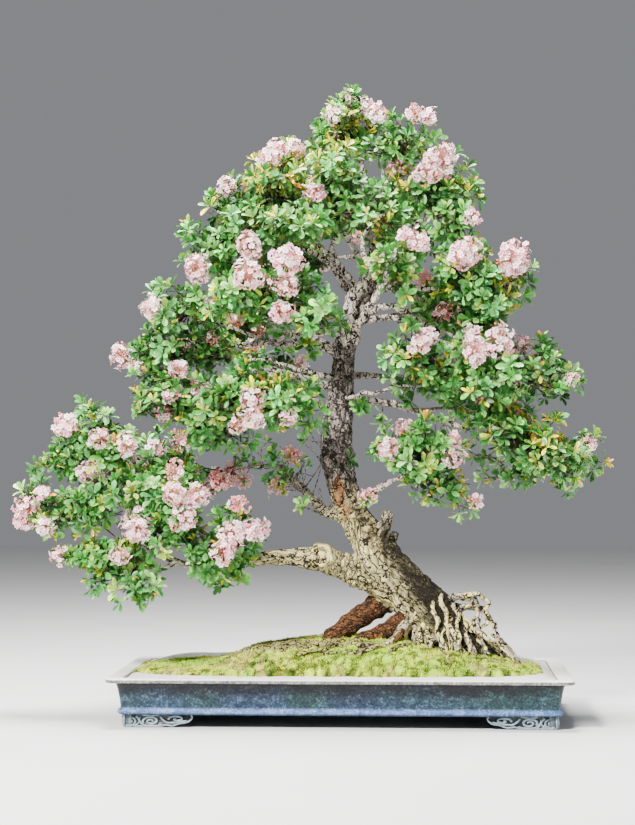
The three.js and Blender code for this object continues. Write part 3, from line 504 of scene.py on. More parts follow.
def blades(roots, along, normal, length, width, tints):
    """Copies of the leaf laid out by arrays, with a colour each."""
    side = unit(np.cross(normal, along))
    up = np.cross(along, side)
    verts = roots[:, None]
    for axis, (way, size) in enumerate(((along, length), (side, width), (up, length))):
        verts = verts + way[:, None] * (LEAF_VERTS[None, :, axis : axis + 1] * size[:, None, None])
    n = len(LEAF_VERTS)
    faces = LEAF_FACES[None] + (np.arange(len(roots)) * n)[:, None, None]
    shade = np.ones((len(roots), n, 3)) * tints[:, None]
    # Painted light and shade along each leaf: the sunk midrib's corners darker, the tip corners lighter, the tips
    # partly their own paler colour too
    shade[:, :3] *= 0.8
    shade[:, (3, 7, 11)] *= (1.5, 1.4, 1.25)
    return verts.reshape(-1, 3), faces.reshape(-1, 3), shade.reshape(-1, 3)


def thinned(points, spacing, order):
    """Picks points in the given order that keep a distance from those already picked."""
    kept, grid = [], {}
    for i in order:
        p = points[i]
        key = tuple(np.floor(p / spacing).astype(int))
        cells = (tuple(map(sum, zip(key, step))) for step in product((-1, 0, 1), repeat=3))
        near = (j for cell in cells for j in grid.get(cell, ()))
        if all(np.sum((points[j] - p) ** 2) > spacing * spacing for j in near):
            kept.append(i)
            grid.setdefault(key, []).append(i)
    return np.array(kept)


def surface_points(name, count, rng):
    """Random points on a CAD node, with the directions out of its surface."""
    verts, tris = node_mesh(name)
    a, b, c = (verts[tris[:, k]] for k in range(3))
    cross = np.cross(b - a, c - a)
    area = np.linalg.norm(cross, axis=1)
    pick = rng.choice(len(tris), count, p=area / area.sum())
    r1, r2 = np.sqrt(rng.random(count))[:, None], rng.random(count)[:, None]
    return a[pick] * (1 - r1) + b[pick] * (r1 * (1 - r2)) + c[pick] * (r1 * r2), unit(cross[pick])


GREENS = np.array((
    (0.03, 0.17, 0.02), (0.06, 0.31, 0.04), (0.14, 0.48, 0.08), (0.36, 0.68, 0.19),
    (0.012, 0.065, 0.012), (0.46, 0.62, 0.07), (0.11, 0.48, 0.13),
))
GREEN_SHARES = (0.24, 0.25, 0.18, 0.11, 0.1, 0.04, 0.08)
YOUNG = np.array(((0.78, 0.66, 0.035), (0.5, 0.66, 0.03), (0.85, 0.38, 0.05)))
YOUNG_SHARES = (0.42, 0.5, 0.08)

# Tufts of young leaves: x, z and radius, in millimetres from the tray's middle
YOUNG_TUFTS = (
    (-160, 1108, 44), (-76, 1104, 42), (78, 977, 24), (332, 861, 26), (410, 578, 44), (242, 477, 30),
    (-150, 649, 24), (-10, 1150, 30), (130, 1095, 30), (20, 1196, 22),
)

SURFACE_SAMPLES = 2600
ROSETTE_LIFT = 0.005
LEAF_LENGTHS = (0.018, 0.0265)
LEAF_LEANS = (0.25, 1.5)
LEAF_TURN = 2.4
YOUNG_WHORLS = 0.27
SPIN = 6.28  # random turns are from 0 to this
ROSETTE_SPACING = 0.0178
FILL_NEAREST, FILL_REACH = 0.04, 0.085  # how far apart two whorls are that get a third between them
FILL_SCATTER = 0.006
SPREAD = 0.05
SPRAY_NODES = sorted(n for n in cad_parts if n.startswith("spray_"))
BLOOM_NODES = sorted(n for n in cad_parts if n.startswith("bloom_"))


def neighbourhood(tree, points, place):
    """The middle of the points round a place."""
    return points[[j for _, j, _ in tree.find_range(place, SPREAD)]].mean(0)


def rosettes(name, seed):
    """Where the whorls of one spray stand, and which way they face."""
    rng = np.random.default_rng(seed)
    p, n = surface_points(name, SURFACE_SAMPLES, rng)
    tree = tree_of(p)
    kept = thinned(p, ROSETTE_SPACING, rng.permutation(len(p)))
    out = unit(np.array([p[i] - neighbourhood(tree, p, p[i]) for i in kept]))
    axis = unit(out + 0.35 * n[kept] + np.array((0, -0.1, 0.55)) + rng.normal(0, 0.3, out.shape))
    return p[kept] + out * ROSETTE_LIFT, axis


# Gaps between the pads, seen from the front: x, z, half width and half height in millimetres on the plane
# through the tray's middle
GAPS = (
    (-267, 513, 40, 32), (306, 513, 34, 22), (-485, 381, 28, 34), (-597, 471, 36, 32), (-432, 206, 50, 22),
    (-149, 812, 20, 28), (237, 802, 22, 22), (359, 780, 40, 24), (-338, 790, 24, 20), (422, 616, 28, 22),
    (221, 576, 24, 18),
)
GAP_LEFT_SHARE = 0.1


def open_gaps(spots, axes, seed):
    """Most whorls that stand in a gap between two pads are left out."""
    reach = CAMERA_PLACE[1] / (CAMERA_PLACE[1] - (spots[:, 1] - OY))
    x = CAMERA_PLACE[0] + (spots[:, 0] - OX - CAMERA_PLACE[0]) * reach
    z = CAMERA_PLACE[2] + (spots[:, 2] - CAMERA_PLACE[2]) * reach
    stays = np.ones(len(spots), bool)
    for gx, gz, rx, rz in GAPS:
        stays &= np.hypot((x - gx * MM) / (rx * MM), (z - gz * MM) / (rz * MM)) > 1
    stays |= np.random.default_rng(seed).random(len(spots)) < GAP_LEFT_SHARE
    return spots[stays], axes[stays]


def painted_crown_light(spots, everyone):
    """How open to the light each whorl is: most at the outside of the crown, less where others stand round it. The
    leaves' colour is multiplied by it, as painted light and shade.
    """
    tree = tree_of(everyone)
    off = np.array([np.linalg.norm(p - neighbourhood(tree, everyone, p)) for p in spots])
    return np.clip(0.26 + 0.8 * off / 0.024, 0.28, 1.1)


def filled_in(spots, axes, everyone, seed):
    """Further whorls half-way between those of one spray, where no other stands."""
    rng = np.random.default_rng(seed)
    near = tree_of(spots)
    everywhere = tree_of(everyone)
    new_spots, new_axes = [], []
    for i in rng.permutation(len(spots)):
        others = [j for _, j, d in near.find_range(spots[i], FILL_REACH) if d > FILL_NEAREST]
        if not others:
            continue
        j = others[rng.integers(len(others))]
        p = (spots[i] + spots[j]) / 2 + rng.normal(0, FILL_SCATTER, 3)
        if everywhere.find(p)[2] < ROSETTE_SPACING * 0.9:
            continue
        if new_spots and np.min(np.linalg.norm(np.array(new_spots) - p, axis=1)) < ROSETTE_SPACING:
            continue
        new_spots.append(p)
        new_axes.append(unit(axes[i] + axes[j] + np.array((0, -0.2, 0.6)) + rng.normal(0, 0.3, 3)))
    if not new_spots:
        return spots, axes
    return np.concatenate([spots, new_spots]), np.concatenate([axes, new_axes])


def leaf_arrays(spots, axes, seed, light, fewest=7, most=11):
    """Whorls of leaves: a few tender ones upright in the middle, older ones spread round them."""
    rng = np.random.default_rng(seed)
    count = rng.integers(fewest, most, len(spots))
    which = np.repeat(np.arange(len(spots)), count)
    n = len(which)
    turn = np.concatenate([np.arange(c) * LEAF_TURN + rng.random() * SPIN for c in count])
    lean = np.concatenate([np.linspace(*LEAF_LEANS, c) for c in count]) + rng.normal(0, 0.14, n)
    a = axes[which]
    along = unit(around(a, around(*across(a, (0.31, 0.2, 0.93)), turn), lean))
    normal = unit(a - along * np.sum(a * along, 1, keepdims=True) + rng.normal(0, 0.2, a.shape))
    length = rng.uniform(*LEAF_LENGTHS, n) * (0.75 + 0.25 * np.minimum(lean, 1.2) / 1.2)
    length *= rng.uniform(0.82, 1.14, len(spots))[which]
    width = length * rng.uniform(0.85, 1.12, n)
    roots = spots[which] + along * 0.002
    base = GREENS[rng.choice(len(GREENS), len(spots), p=GREEN_SHARES)][which]
    own = GREENS[rng.choice(len(GREENS), n, p=GREEN_SHARES)]
    tints = (0.65 * base + 0.35 * own) * rng.uniform(0.6, 1.3, (n, 1))
    tips = (rng.random(len(spots)) < YOUNG_WHORLS)[which]
    young = tips & (rng.random(n) < np.where(lean < 0.7, 0.75, 0.08))
    for x, z, r in YOUNG_TUFTS:
        d = np.hypot(roots[:, 0] - OX - x * MM, roots[:, 2] - z * MM)
        young |= (d < r * MM) & (rng.random(n) < 0.6) & (roots[:, 1] < OY + 0.03)
    tints[young] = YOUNG[rng.choice(3, young.sum(), p=YOUNG_SHARES)] * rng.uniform(0.6, 1.1, (young.sum(), 1))
    width[young] *= 0.75
    length[young] *= 1.08
    # The tints take the painted light and shade of each whorl's place in the crown
    return blades(roots, along, normal, length, width, tints * light[which][:, None])


# Flowers

PINKS = np.array(((1.0, 0.76, 0.79), (0.97, 0.54, 0.62), (1.0, 0.93, 0.92), (0.88, 0.34, 0.44), (0.98, 0.68, 0.64)))
PINK_SHARES = (0.34, 0.18, 0.3, 0.08, 0.1)
BUD_PINK = PINKS[3]
CORAL = np.array(((0.88, 0.2, 0.14), (0.94, 0.36, 0.26), (0.8, 0.14, 0.2)))
STALK = np.array((0.6, 0.3, 0.24))
EYE_RIM, EYE_TIP = np.array((0.6, 0.16, 0.22)), np.array((0.85, 0.6, 0.45))
PETAL_FORM = ((0.1, 0, 0), (0.55, 0.34, 0.16), (0.98, 0.24, 0.22), (0.98, -0.24, 0.22), (0.55, -0.34, 0.16))
PETAL_WIDTH = 1.15
FLOWER_HINT = (0.27, 0.11, 0.95)
GOLDEN_TURN = 2.39996
FLOWER_RADIUS = 0.0061
BUD_SIZE = 0.5  # of a flower's
STALK_RADII = (0.0011, 0.0009, 0.0007)
LOBES = 7
# A head of this radius has this many flowers, and every head a few more
HEAD_RADIUS, HEAD_FLOWERS, LEAST_FLOWERS = 0.03, 60, 7


def flower_parts(centres, facing, radius, tints, rng):
    """Five cupped petals and a small eye for each flower."""
    parts = Parts()
    u, v = across(facing, FLOWER_HINT)
    for i in range(len(centres)):
        spin = rng.random() * SPIN

        def at(*way):
            return centres[i] + radius[i] * sum(way)

        for k in range(5):
            d = around(u[i], v[i], spin + k * TURN / 5 + rng.normal(0, 0.08))
            s = np.cross(facing[i], d)
            petal = [at(d * x, s * y * PETAL_WIDTH, facing[i] * z) for x, y, z in PETAL_FORM]
            parts.add(petal, [range(5)], [tints[i] * (0.85, 0.42, 0.58)] + [tints[i]] * 4)
        eye = [at(around(u[i], v[i], spin + k * TURN / 5) * 0.15, facing[i] * 0.05) for k in range(5)]
        eye.append(at(facing[i] * 0.4))
        parts.add(eye, [(k, (k + 1) % 5, 5) for k in range(5)], [EYE_RIM] * 5 + [EYE_TIP])
    return parts


def bud_parts(centres, facing, radius, tints):
    """A pointed egg for each bud."""
    parts = Parts()
    u, v = across(facing, FLOWER_HINT)
    faces = []
    for k in range(5):
        j = (k + 1) % 5
        faces += [(0, 1 + j, 1 + k), (1 + k, 1 + j, 6)]
    for i, (c, way, r) in enumerate(zip(centres, facing, radius)):
        ring = [c + r * 0.72 * around(u[i], v[i], k * TURN / 5) for k in range(5)]
        egg = [c - way * r, *ring, c + way * r * 1.3]
        parts.add(egg, faces, [tints[i] * 0.6] + [tints[i]] * 5 + [tints[i] * 1.2])
    return parts


def flower_cluster(centre, radius, up, rng, bud_share):
    """Arrays of one head: a domed, lobed cluster of flowers with buds among them."""
    count = int(HEAD_FLOWERS * (radius / HEAD_RADIUS) ** 1.9) + LEAST_FLOWERS
    k = np.arange(count) + 0.5
    h = 1 - 1.75 * k / count
    level = np.sqrt(np.maximum(0, 1 - h * h))[:, None]
    out = level * around(*across(up, (0.3, 0.9, 0.2)), k * GOLDEN_TURN) + up * h[:, None]
    out = unit(out + rng.normal(0, 0.12, out.shape))
    lobes = unit(rng.normal(0, 1, (LOBES, 3)) + 0.5 * up) * rng.uniform(0.46, 0.62, (LOBES, 1))
    along = out @ lobes.T
    room = rng.uniform(0.38, 0.52, LOBES) ** 2 - np.sum(lobes**2, 1) + along**2
    reach = np.where(room > 0, along + np.sqrt(np.maximum(room, 0)), 0.7).max(1).clip(0.7, 1.15)
    sunk = rng.random(count) < 0.25
    reach *= radius * np.where(sunk, rng.uniform(0.6, 0.85, count), rng.uniform(0.94, 1.06, count))
    out = out * rng.uniform(0.85, 1.12, 3)
    facing = unit(out + rng.normal(0, 0.42, out.shape))
    is_bud = rng.random(count) < bud_share
    tints = PINKS[rng.choice(len(PINKS), count, p=PINK_SHARES)] * rng.uniform(0.8, 1.05, (count, 1))
    bud_tints = np.where(rng.random((count, 1)) < 0.5, BUD_PINK, CORAL[rng.choice(3, count)])
    return centre + out * reach[:, None], facing, is_bud, tints, bud_tints


def clusters_mesh(name, specs, seed):
    """One mesh for several heads, each (centre, radius, up, share of buds)."""
    rng = np.random.default_rng(seed)
    parts = Parts()
    stalks = []
    for centre, radius, up, buds in specs:
        up = unit(np.array(up))
        at, facing, is_bud, tints, bud_tints = flower_cluster(np.array(centre), radius, up, rng, buds)
        size = FLOWER_RADIUS * rng.uniform(0.85, 1.15, len(at))
        flowers = flower_parts(*(a[~is_bud] for a in (at, facing, size, tints)), rng)
        shut = bud_parts(*(a[is_bud] for a in (at, facing, size * BUD_SIZE, bud_tints)))
        for more in (flowers, shut):
            parts.add(more.verts, more.faces, more.tints)
        stalks += [(centre - up * radius * 0.5, (centre + p) / 2, p) for p in at[::2]]
    verts, faces = tubes(stalks, [STALK_RADII] * len(stalks), 3)
    parts.add(verts, faces, [STALK] * len(verts))
    return make(name, parts.verts, parts.faces, PETAL, np.array(parts.tints), smooth=False)


def bloom_centre(name):
    """The middle and radius of a CAD head, worked out from its florets."""
    verts, _ = node_mesh(name)
    low, high = np.percentile(verts, 3, 0), np.percentile(verts, 97, 0)
    return (low + high) / 2, float(np.mean(high - low) / 2)


HEAD_SWELL = 1.14
BUD_HEAD = 0.7  # heads with more buds than this stand further out
# Further heads, on the sprays or on shoots of their own: x, z and radius, in millimetres from the tray's middle,
# and their share of buds
SMALL_HEADS = (
    (-184, 936, 30, 0.2), (-108, 890, 34, 0.2), (-100, 836, 26, 0.25), (190, 1107, 34, 0.2),
    (140, 1190, 18, 0.3), (168, 1186, 18, 0.3), (-140, 1141, 22, 0.2), (-84, 1145, 20, 0.3),
    (-225, 1066, 22, 0.3), (247, 916, 34, 0.2), (328, 916, 36, 0.3), (260, 999, 18, 0.3),
    (146, 930, 24, 0.3), (121, 954, 18, 0.3), (176, 755, 22, 0.2), (264, 739, 24, 0.2),
    (298, 729, 34, 0.2), (340, 757, 22, 0.3), (462, 674, 16, 0.4), (125, 576, 18, 0.3),
    (94, 527, 22, 0.5), (222, 558, 18, 0.4), (210, 511, 22, 0.3), (259, 462, 16, 0.5),
    (492, 554, 18, 0.4), (-379, 847, 22, 0.3), (-383, 812, 20, 0.4), (-454, 739, 18, 0.4),
    (-407, 712, 18, 0.4), (-312, 747, 20, 0.3), (-336, 692, 22, 0.2), (-342, 643, 18, 0.3),
    (-288, 643, 20, 0.3), (-164, 621, 24, 0.2), (-204, 597, 20, 0.3), (-105, 601, 18, 0.4),
    (-354, 597, 18, 0.4), (-566, 572, 24, 0.3), (-474, 560, 22, 0.3), (-426, 544, 22, 0.3),
    (-383, 540, 20, 0.3), (-527, 477, 24, 0.2), (-498, 472, 22, 0.2), (-648, 414, 24, 0.3),
    (-640, 385, 18, 0.3), (-600, 444, 16, 0.4), (-606, 377, 18, 0.3), (-578, 410, 16, 0.4),
    (-316, 436, 28, 0.3), (-312, 398, 28, 0.2), (-428, 389, 26, 0.2), (-375, 393, 26, 0.2),
    (-212, 361, 28, 0.2), (-164, 373, 22, 0.3), (-237, 332, 26, 0.3), (-566, 328, 18, 0.4),
    (-318, 484, 22, 0.85), (-262, 452, 22, 0.85), (-243, 466, 16, 0.85),
    (-444, 306, 18, 0.4), (-306, 544, 22, 0.8), (-288, 470, 30, 0.85), (-446, 381, 18, 0.8),
    (-109, 527, 22, 0.85), (-208, 477, 20, 0.85), (-133, 465, 22, 0.85), (-200, 428, 22, 0.85),
    (-267, 747, 16, 0.8), (125, 1111, 18, 0.8), (172, 861, 22, 0.8), (200, 820, 20, 0.8),
    (50, 442, 20, 0.85), (56, 1236, 22, 0.25), (20, 1254, 13, 0.6), (-30, 1208, 16, 0.3),
)


# Wood: the CAD trunk rounded off, with plates of bark raised over its cracks

WOOD_VOXEL = 0.0031
THICKEST = 0.16
PLATES, CHIPS = 46, 95  # cells of bark to the metre
PALE_BARK = np.array((0.98, 0.86, 0.44))
GREY_BARK = np.array((0.66, 0.6, 0.37))
UPPER_BARK = np.array((0.44, 0.385, 0.37))
LIMB_BARK = np.array((0.62, 0.55, 0.5))
CREEPER_BARK = np.array((0.42, 0.38, 0.15))
TWIG_BARK = np.array((0.26, 0.19, 0.13))
BARE_WOOD = np.array((0.5, 0.19, 0.055))
# The old roots' own dark red-brown, made darker still as painted shade
OLD_ROOT = np.array((0.22, 0.095, 0.038))
MOSSY_BARK = (0.36, 0.4, 0.16)
# Places on the trunk in metres: where it stops leaning, its bulge, the knot and the top of the shade painted on its
# right side
LEAN_TOP = 0.44
BULGE_HEIGHT = 0.565
KNOT = (-0.042, 0.325)
KNOT_RINGS = (0.0008, 0.003, 0.005, 0.007, 0.009, 0.011, 0.013, 0.015, 0.017, 0.019, 0.021, 0.0235, 0.027)
RING_STEP = 0.0062
SHADE_PAINT_TOP = 0.45
# Scars with bare wood: x, z, half width, half height in metres and how strong
SCARS = ((-0.008, 0.452, 0.012, 0.03, 0.72), (0.002, 0.412, 0.01, 0.02, 0.6))


def rounded_wood():
    """The CAD trunk's surface on an even grid: its corners, outward directions and faces."""
    obj = make("wood", *node_mesh("trunk"), BARK)
    voxel = obj.modifiers.new("voxel", "REMESH")
    voxel.mode = "VOXEL"
    voxel.voxel_size = WOOD_VOXEL
    soft = obj.modifiers.new("soft", "SMOOTH")
    soft.factor = 0.5
    soft.iterations = 7
    done = finished_mesh(obj)
    bpy.data.objects.remove(obj)
    arrays = []
    for field in ("co", "normal"):
        flat = np.empty(len(done.vertices) * 3, np.float32)
        done.vertices.foreach_get(field, flat)
        arrays.append(flat.reshape(-1, 3).astype(float))
    return *arrays, [tuple(p.vertices) for p in done.polygons]


def thickness(co, normal):
    """How thick the wood is under each point, up to a limit."""
    verts, tris = node_mesh("trunk")
    tree = BVHTree.FromPolygons(verts.tolist(), tris.tolist())
    thick = np.full(len(co), THICKEST)
    for i in range(len(co)):
        hit = tree.ray_cast(Vector(co[i] - normal[i] * 0.0015), Vector(-normal[i]), THICKEST)
        if hit[0] is not None:
            thick[i] = hit[3]
    return np.clip(thick, 0.004, 0.13)


def wood_piece():
    co, normal, quads = rounded_wood()
    thick = thickness(co, normal)
    x, y, z = co[:, 0] - OX, co[:, 1] - OY, co[:, 2]

    # Plates run along the limb: up a leaning or upright trunk, and sideways on the low left branch
    low_branch = fall(x, 0.04, 0.08) * (z < 0.4)
    lean = fall(z, LEAN_TOP, 0.14) * (1 - low_branch)
    run = unit(np.stack([-low_branch - 0.72 * lean, 0 * x, 1 - 0.9 * low_branch - 0.25 * lean], 1))
    warp = 0.008 * np.stack([layered_noise(co, 55, s) - 0.5 for s in (21, 31, 41)], 1)
    grain = co - run * np.sum(co * run, 1, keepdims=True) * 0.55 + warp

    first, second, owner = cell_noise(grain, PLATES, 3)
    small_first, small_second, small_owner = cell_noise(grain, CHIPS, 9)
    deep, small = furrow(first, second), furrow(small_first, small_second)
    rough = layered_noise(co, 60, 5)
    lift = 0.0024 * (owner - 0.4) - 0.0038 * deep**1.4 + 0.0018 * (small_owner - 0.5) - 0.0024 * small
    lift = np.clip(thick / 0.08, 0.05, 1) * (lift + 0.011 * (layered_noise(grain, 24, 51) - 0.5))
    lift += 0.0022 * (rough - 0.5) * np.clip(thick / 0.03, 0.15, 1)
    lift += 0.0055 * hump(z, BULGE_HEIGHT, 0.085, 4) * rise(thick, 0.03, 0.02)
    ring = np.hypot(x - KNOT[0], (z - KNOT[1]) * 1.1) + 0.004 * (rough - 0.5)
    ring = np.where((y < 0.01) & (ring < 0.034), ring, 1)
    waves = np.sin(ring * TURN / RING_STEP)
    lift += 0.009 * hump(ring, 0.0175, 0.0048) - 0.009 * hump(ring, 0, 0.009) + 0.0016 * waves * (ring < 0.03)
    co = co + normal * lift[:, None]

    def mottled(colour, dark, gain):
        return colour * (dark + gain * rough)[:, None]

    tone = np.clip(0.35 + (small_owner - 0.5) * 0.5 + (layered_noise(co, 10, 61) - 0.5) * 1.5, 0, 1)
    # Painted shade: the lower trunk's right side, away from the light, is darkened, fading out higher up
    shaded = np.clip((x - 0.042 - 0.73 * (0.382 - z)) / 0.045 + 0.6 + (rough - 0.5), 0, 1)
    shaded = shaded * np.clip((SHADE_PAINT_TOP - z) / 0.09 + 1.2 * (rough - 0.5), 0, 1)
    upper = rise(z, 0.42, 0.06)
    # Painted shade: the low right foot of the trunk, behind the root strands, is darkened by half
    foot = rise(x, 0.12, 0.05) * fall(z, 0.3, 0.07)
    twig = fall(thick, 0.03, 0.02)
    # Painted shade in the bark's deep and small furrows, weaker on thin wood
    furrow_shade = np.clip(0.6 * deep**1.5 + 0.35 * small**2, 0, 0.8) * (1 - 0.6 * twig)
    eye = fall(ring, 0.009, 0.004)
    old = fall(x, 0.075, 0.03) * fall(z, 0.25, 0.02) * 0.75 * (1 - fall(thick, 0.02, 0.01))
    mossy = fall(z, 0.2, 0.05) * rise(layered_noise(co, 30, 71), 0.45, 0.15) * 0.55
    # The pale to grey bark, darkened by the painted shade of its right side
    tint = blend(PALE_BARK, GREY_BARK, tone) * (1 - 0.86 * shaded)[:, None]
    # The upper trunk's own grey, then the painted shade at the foot behind the root strands
    tint = blend(tint, mottled(UPPER_BARK, 0.6, 0.8), upper) * (1 - 0.5 * foot)[:, None]
    tint = blend(tint, mottled(LIMB_BARK, 0.85, 0.9), twig)
    tint = blend(tint, mottled(CREEPER_BARK, 0.5, 1), fall(x, 0.06, 0.03) * fall(z, 0.2, 0.02) * twig)
    # Painted shade darkens the furrows
    tint = tint * (1 - furrow_shade)[:, None]
    rings = PALE_BARK * (0.62 + 0.38 * waves)[:, None]
    tint = blend(tint, blend(rings, BARE_WOOD * 0.6, eye), fall(ring, 0.031, 0.006))
    for px, pz, rx, rz, share in SCARS:
        d = np.hypot((x - px) / rx, (z - pz) / rz) + 0.6 * (rough - 0.5)
        tint = blend(tint, mottled(BARE_WOOD, 0.5, 1), fall(d, 1.1, 0.35) * (y < 0.01) * share)
    tint = blend(blend(tint, mottled(OLD_ROOT, 0.45, 1.1), old), MOSSY_BARK, mossy)
    # The bark's pattern is broken up where the painted shade falls and on the upper trunk
    whole = np.clip(1 - shaded - upper * (1 - 0.7 * twig), 0, 1)[:, None]
    dress(make("wood", co, quads, BARK, np.concatenate([tint, whole], 1), grain=grain), "bark", "trunk")
    return co, BVHTree.FromPolygons(co.tolist(), quads)


wood_corners, wood_tree = wood_piece()


def wood_face(x, z):
    """The wood's surface as seen from the front at x, z in millimetres, or None beside it."""
    return wood_tree.ray_cast(Vector((OX + x * MM, OY - 1, z * MM)), Vector((0, 1, 0)))[0]


# Root strands down the foot of the trunk: radius at the top, whether old and brown, then x, z in millimetres
STRANDS = (
    (5.5, False, ((192, 248), (202, 222), (211, 178), (216, 114))),
    (5.0, False, ((222, 232), (230, 196), (231, 160), (228, 110))),
    (5.5, False, ((174, 236), (186, 206), (192, 170), (199, 114))),
    (5.0, False, ((238, 212), (246, 178), (252, 148), (261, 104))),
    (5.2, False, (
        (228, 238), (252, 247), (276, 246), (291, 228), (285, 208), (303, 190), (298, 168), (318, 148),
        (350, 108),
    )),
    (4.8, False, ((232, 218), (262, 224), (284, 214), (292, 194), (277, 176), (293, 150), (316, 108))),
    (4.4, False, ((246, 200), (262, 178), (270, 160), (286, 136), (300, 104))),
    (4.2, False, ((240, 238), (262, 232), (270, 206), (262, 184), (280, 164), (304, 140), (330, 106))),
    (4.0, False, ((250, 178), (276, 168), (306, 150), (322, 128), (342, 104))),
    (6.5, False, ((164, 196), (154, 160), (136, 110))),
    (6.0, False, ((172, 222), (170, 182), (176, 150), (168, 110))),
    (7.0, True, ((124, 182), (104, 156), (98, 120))),
    (4.6, False, ((148, 186), (128, 168), (124, 150), (106, 138), (110, 116))),
    (4.2, False, ((136, 172), (116, 160), (122, 140), (100, 126), (84, 112))),
    (4.4, False, ((112, 168), (88, 150), (92, 134), (70, 122), (62, 108))),
    (4.8, False, ((214, 200), (221, 170), (238, 140), (244, 104))),
    (5.0, False, ((150, 214), (144, 178), (150, 148), (142, 112))),
    (6.5, False, ((140, 190), (124, 158), (112, 116))),
    (3.6, False, ((204, 190), (200, 160), (206, 130), (184, 110))),
)

# Old brown roots that arch out of the moss: radius at the top and at the ground, then x, y, z in millimetres
OLD_ROOTS = (
    (27, 19, ((120, 24, 246), (84, 16, 231), (54, 7, 212), (16, -4, 186), (-22, -12, 156), (-48, -18, 118))),
    (20, 14, ((140, -12, 212), (104, -30, 184), (64, -44, 164), (24, -54, 146), (-14, -62, 112))),
)


def root_strands():
    paths, radii, colours = [], [], []
    sides = 9
    for thick, old, line in STRANDS:
        y = OY - 0.03
        points = []
        for x, z in line:
            face = wood_face(x, z)
            y = y if face is None else face.y - thick * MM * 0.55
            points.append((OX + x * MM, y, z * MM))
        points[0] = (points[0][0], points[0][1] + 2.4 * thick * MM, points[0][2])
        path = curve_through(points, 6)
        wave = np.arange(len(path)) * 0.9 + thick * 7
        path[:, 0] += 0.003 * np.sin(wave)
        path[:, 1] += 0.0016 * np.cos(wave * 1.3)
        paths.append(path)
        radii.append(swelling(thick, thick * 0.62, wave * 2.1, 0.09))
        colours += [OLD_ROOT if old else PALE_BARK * 1.1] * (len(path) * sides)
    grain = (0.9, 0.9, 0.16)
    bark_tubes("root_strands", tubes(paths, radii, sides), np.array(colours), 0.4, 1.1, (90, 83), grain)


def old_roots():
    paths = [curve_through([(OX + x * MM, OY + y * MM, z * MM) for x, y, z in line], 12) for _, _, line in OLD_ROOTS]
    radii = [swelling(*ends[:2], np.arange(len(path)) * 0.7, 0.08) for ends, path in zip(OLD_ROOTS, paths)]
    verts, faces = tubes(paths, radii, 30)
    for axis in range(3):
        verts[:, axis] += 0.009 * (layered_noise(verts * (1, 1, 0.6), 70, 101 + axis * 10) - 0.5)
    bark_tubes("old_roots", (verts, faces), OLD_ROOT, 0.35, 1.3, (80, 87), (0.8, 1.6, 1.6), 0)


def knot():
    """The healed ring where a branch was once cut: a raised lip round a sunk, ringed middle."""
    middle = np.array(wood_face(KNOT[0] / MM, KNOT[1] / MM))
    out, side = unit(np.array((-0.1, -1, 0.2))), unit(np.array((1, -0.1, 0)))
    up = np.cross(side, out)
    turns = 40
    t = np.arange(turns) * TURN / turns
    uneven = 1 + 0.1 * np.sin(2 * t + 1) + 0.05 * np.sin(5 * t)
    verts, tints = [], []
    for k, r in enumerate(KNOT_RINGS):
        lift = 0.01 * hump(r, 0.018, 0.0035) + 0.004 * hump(r, 0, 0.006) + 0.0014 * (k % 2)
        lift -= max(0, r - 0.021) * 2.2 + 0.0005
        verts += list(middle + out * lift + around(side, up * 1.15, t) * (r * uneven)[:, None])
        dark = min(1, hump(r, 0.011, 0.003) + hump(r, 0.026, 0.003))
        tints += [PALE_BARK * (1.1 if k % 2 else 0.72) * (1 - 0.85 * dark)] * turns
    verts = np.array(verts)
    faces = ring_faces(len(KNOT_RINGS), turns)
    dress(make("knot", verts, faces, BARK, np.array(tints), grain=verts * 0.12), "bark")


root_strands()
old_roots()
knot()


# The crown

whorls = {node: rosettes(node, 100 + i) for i, node in enumerate(SPRAY_NODES)}
everyone = np.concatenate([spots for spots, _ in whorls.values()])
for i, node in enumerate(SPRAY_NODES):
    whorls[node] = open_gaps(*filled_in(*whorls[node], everyone, 300 + i), 400 + i)
all_spots = np.concatenate([spots for spots, _ in whorls.values()])
all_axes = np.concatenate([axes for _, axes in whorls.values()])


def leaves(name, arrays, *nodes):
    verts, faces, shade = arrays
    dress(make(name, verts, faces, LEAF, shade), "leaf", *nodes)


TWIG_RADII = (0.0019, 0.0014, 0.0009)
HEAD_BUDS = 0.24
twig_paths = []
for i, (node, (spots, axes)) in enumerate(whorls.items()):
    leaves("leaves" + node[len("spray"):], leaf_arrays(spots, axes, 700 + i, painted_crown_light(spots, all_spots)), node)
    middle = node_mesh(node)[0].mean(0)
    rng = np.random.default_rng(500 + i)
    for p, a in zip(spots, axes):
        back = p - a * 0.02 + (middle - p) * 0.16
        twig_paths.append((back + (middle - back) * 0.55 + rng.normal(0, 0.006, 3), back, p))
verts, faces = tubes(twig_paths, [TWIG_RADII] * len(twig_paths), 3)
twig_tint = TWIG_BARK * np.random.default_rng(77).uniform(0.6, 1.1, (len(verts), 1))
dress(make("twigs", verts, faces, BARK, twig_tint, grain=verts), "bark")

for number, node in enumerate(BLOOM_NODES):
    middle, radius = bloom_centre(node)
    near = np.argmin(np.sum((all_spots - middle) ** 2, 1))
    up = unit(middle - all_spots[near] + np.array((0, -0.02, 0.02)))
    piece = clusters_mesh("head" + node[len("bloom"):], [(middle, radius * 0.98, up, HEAD_BUDS)], 900 + number)
    dress(piece, "petal", node)

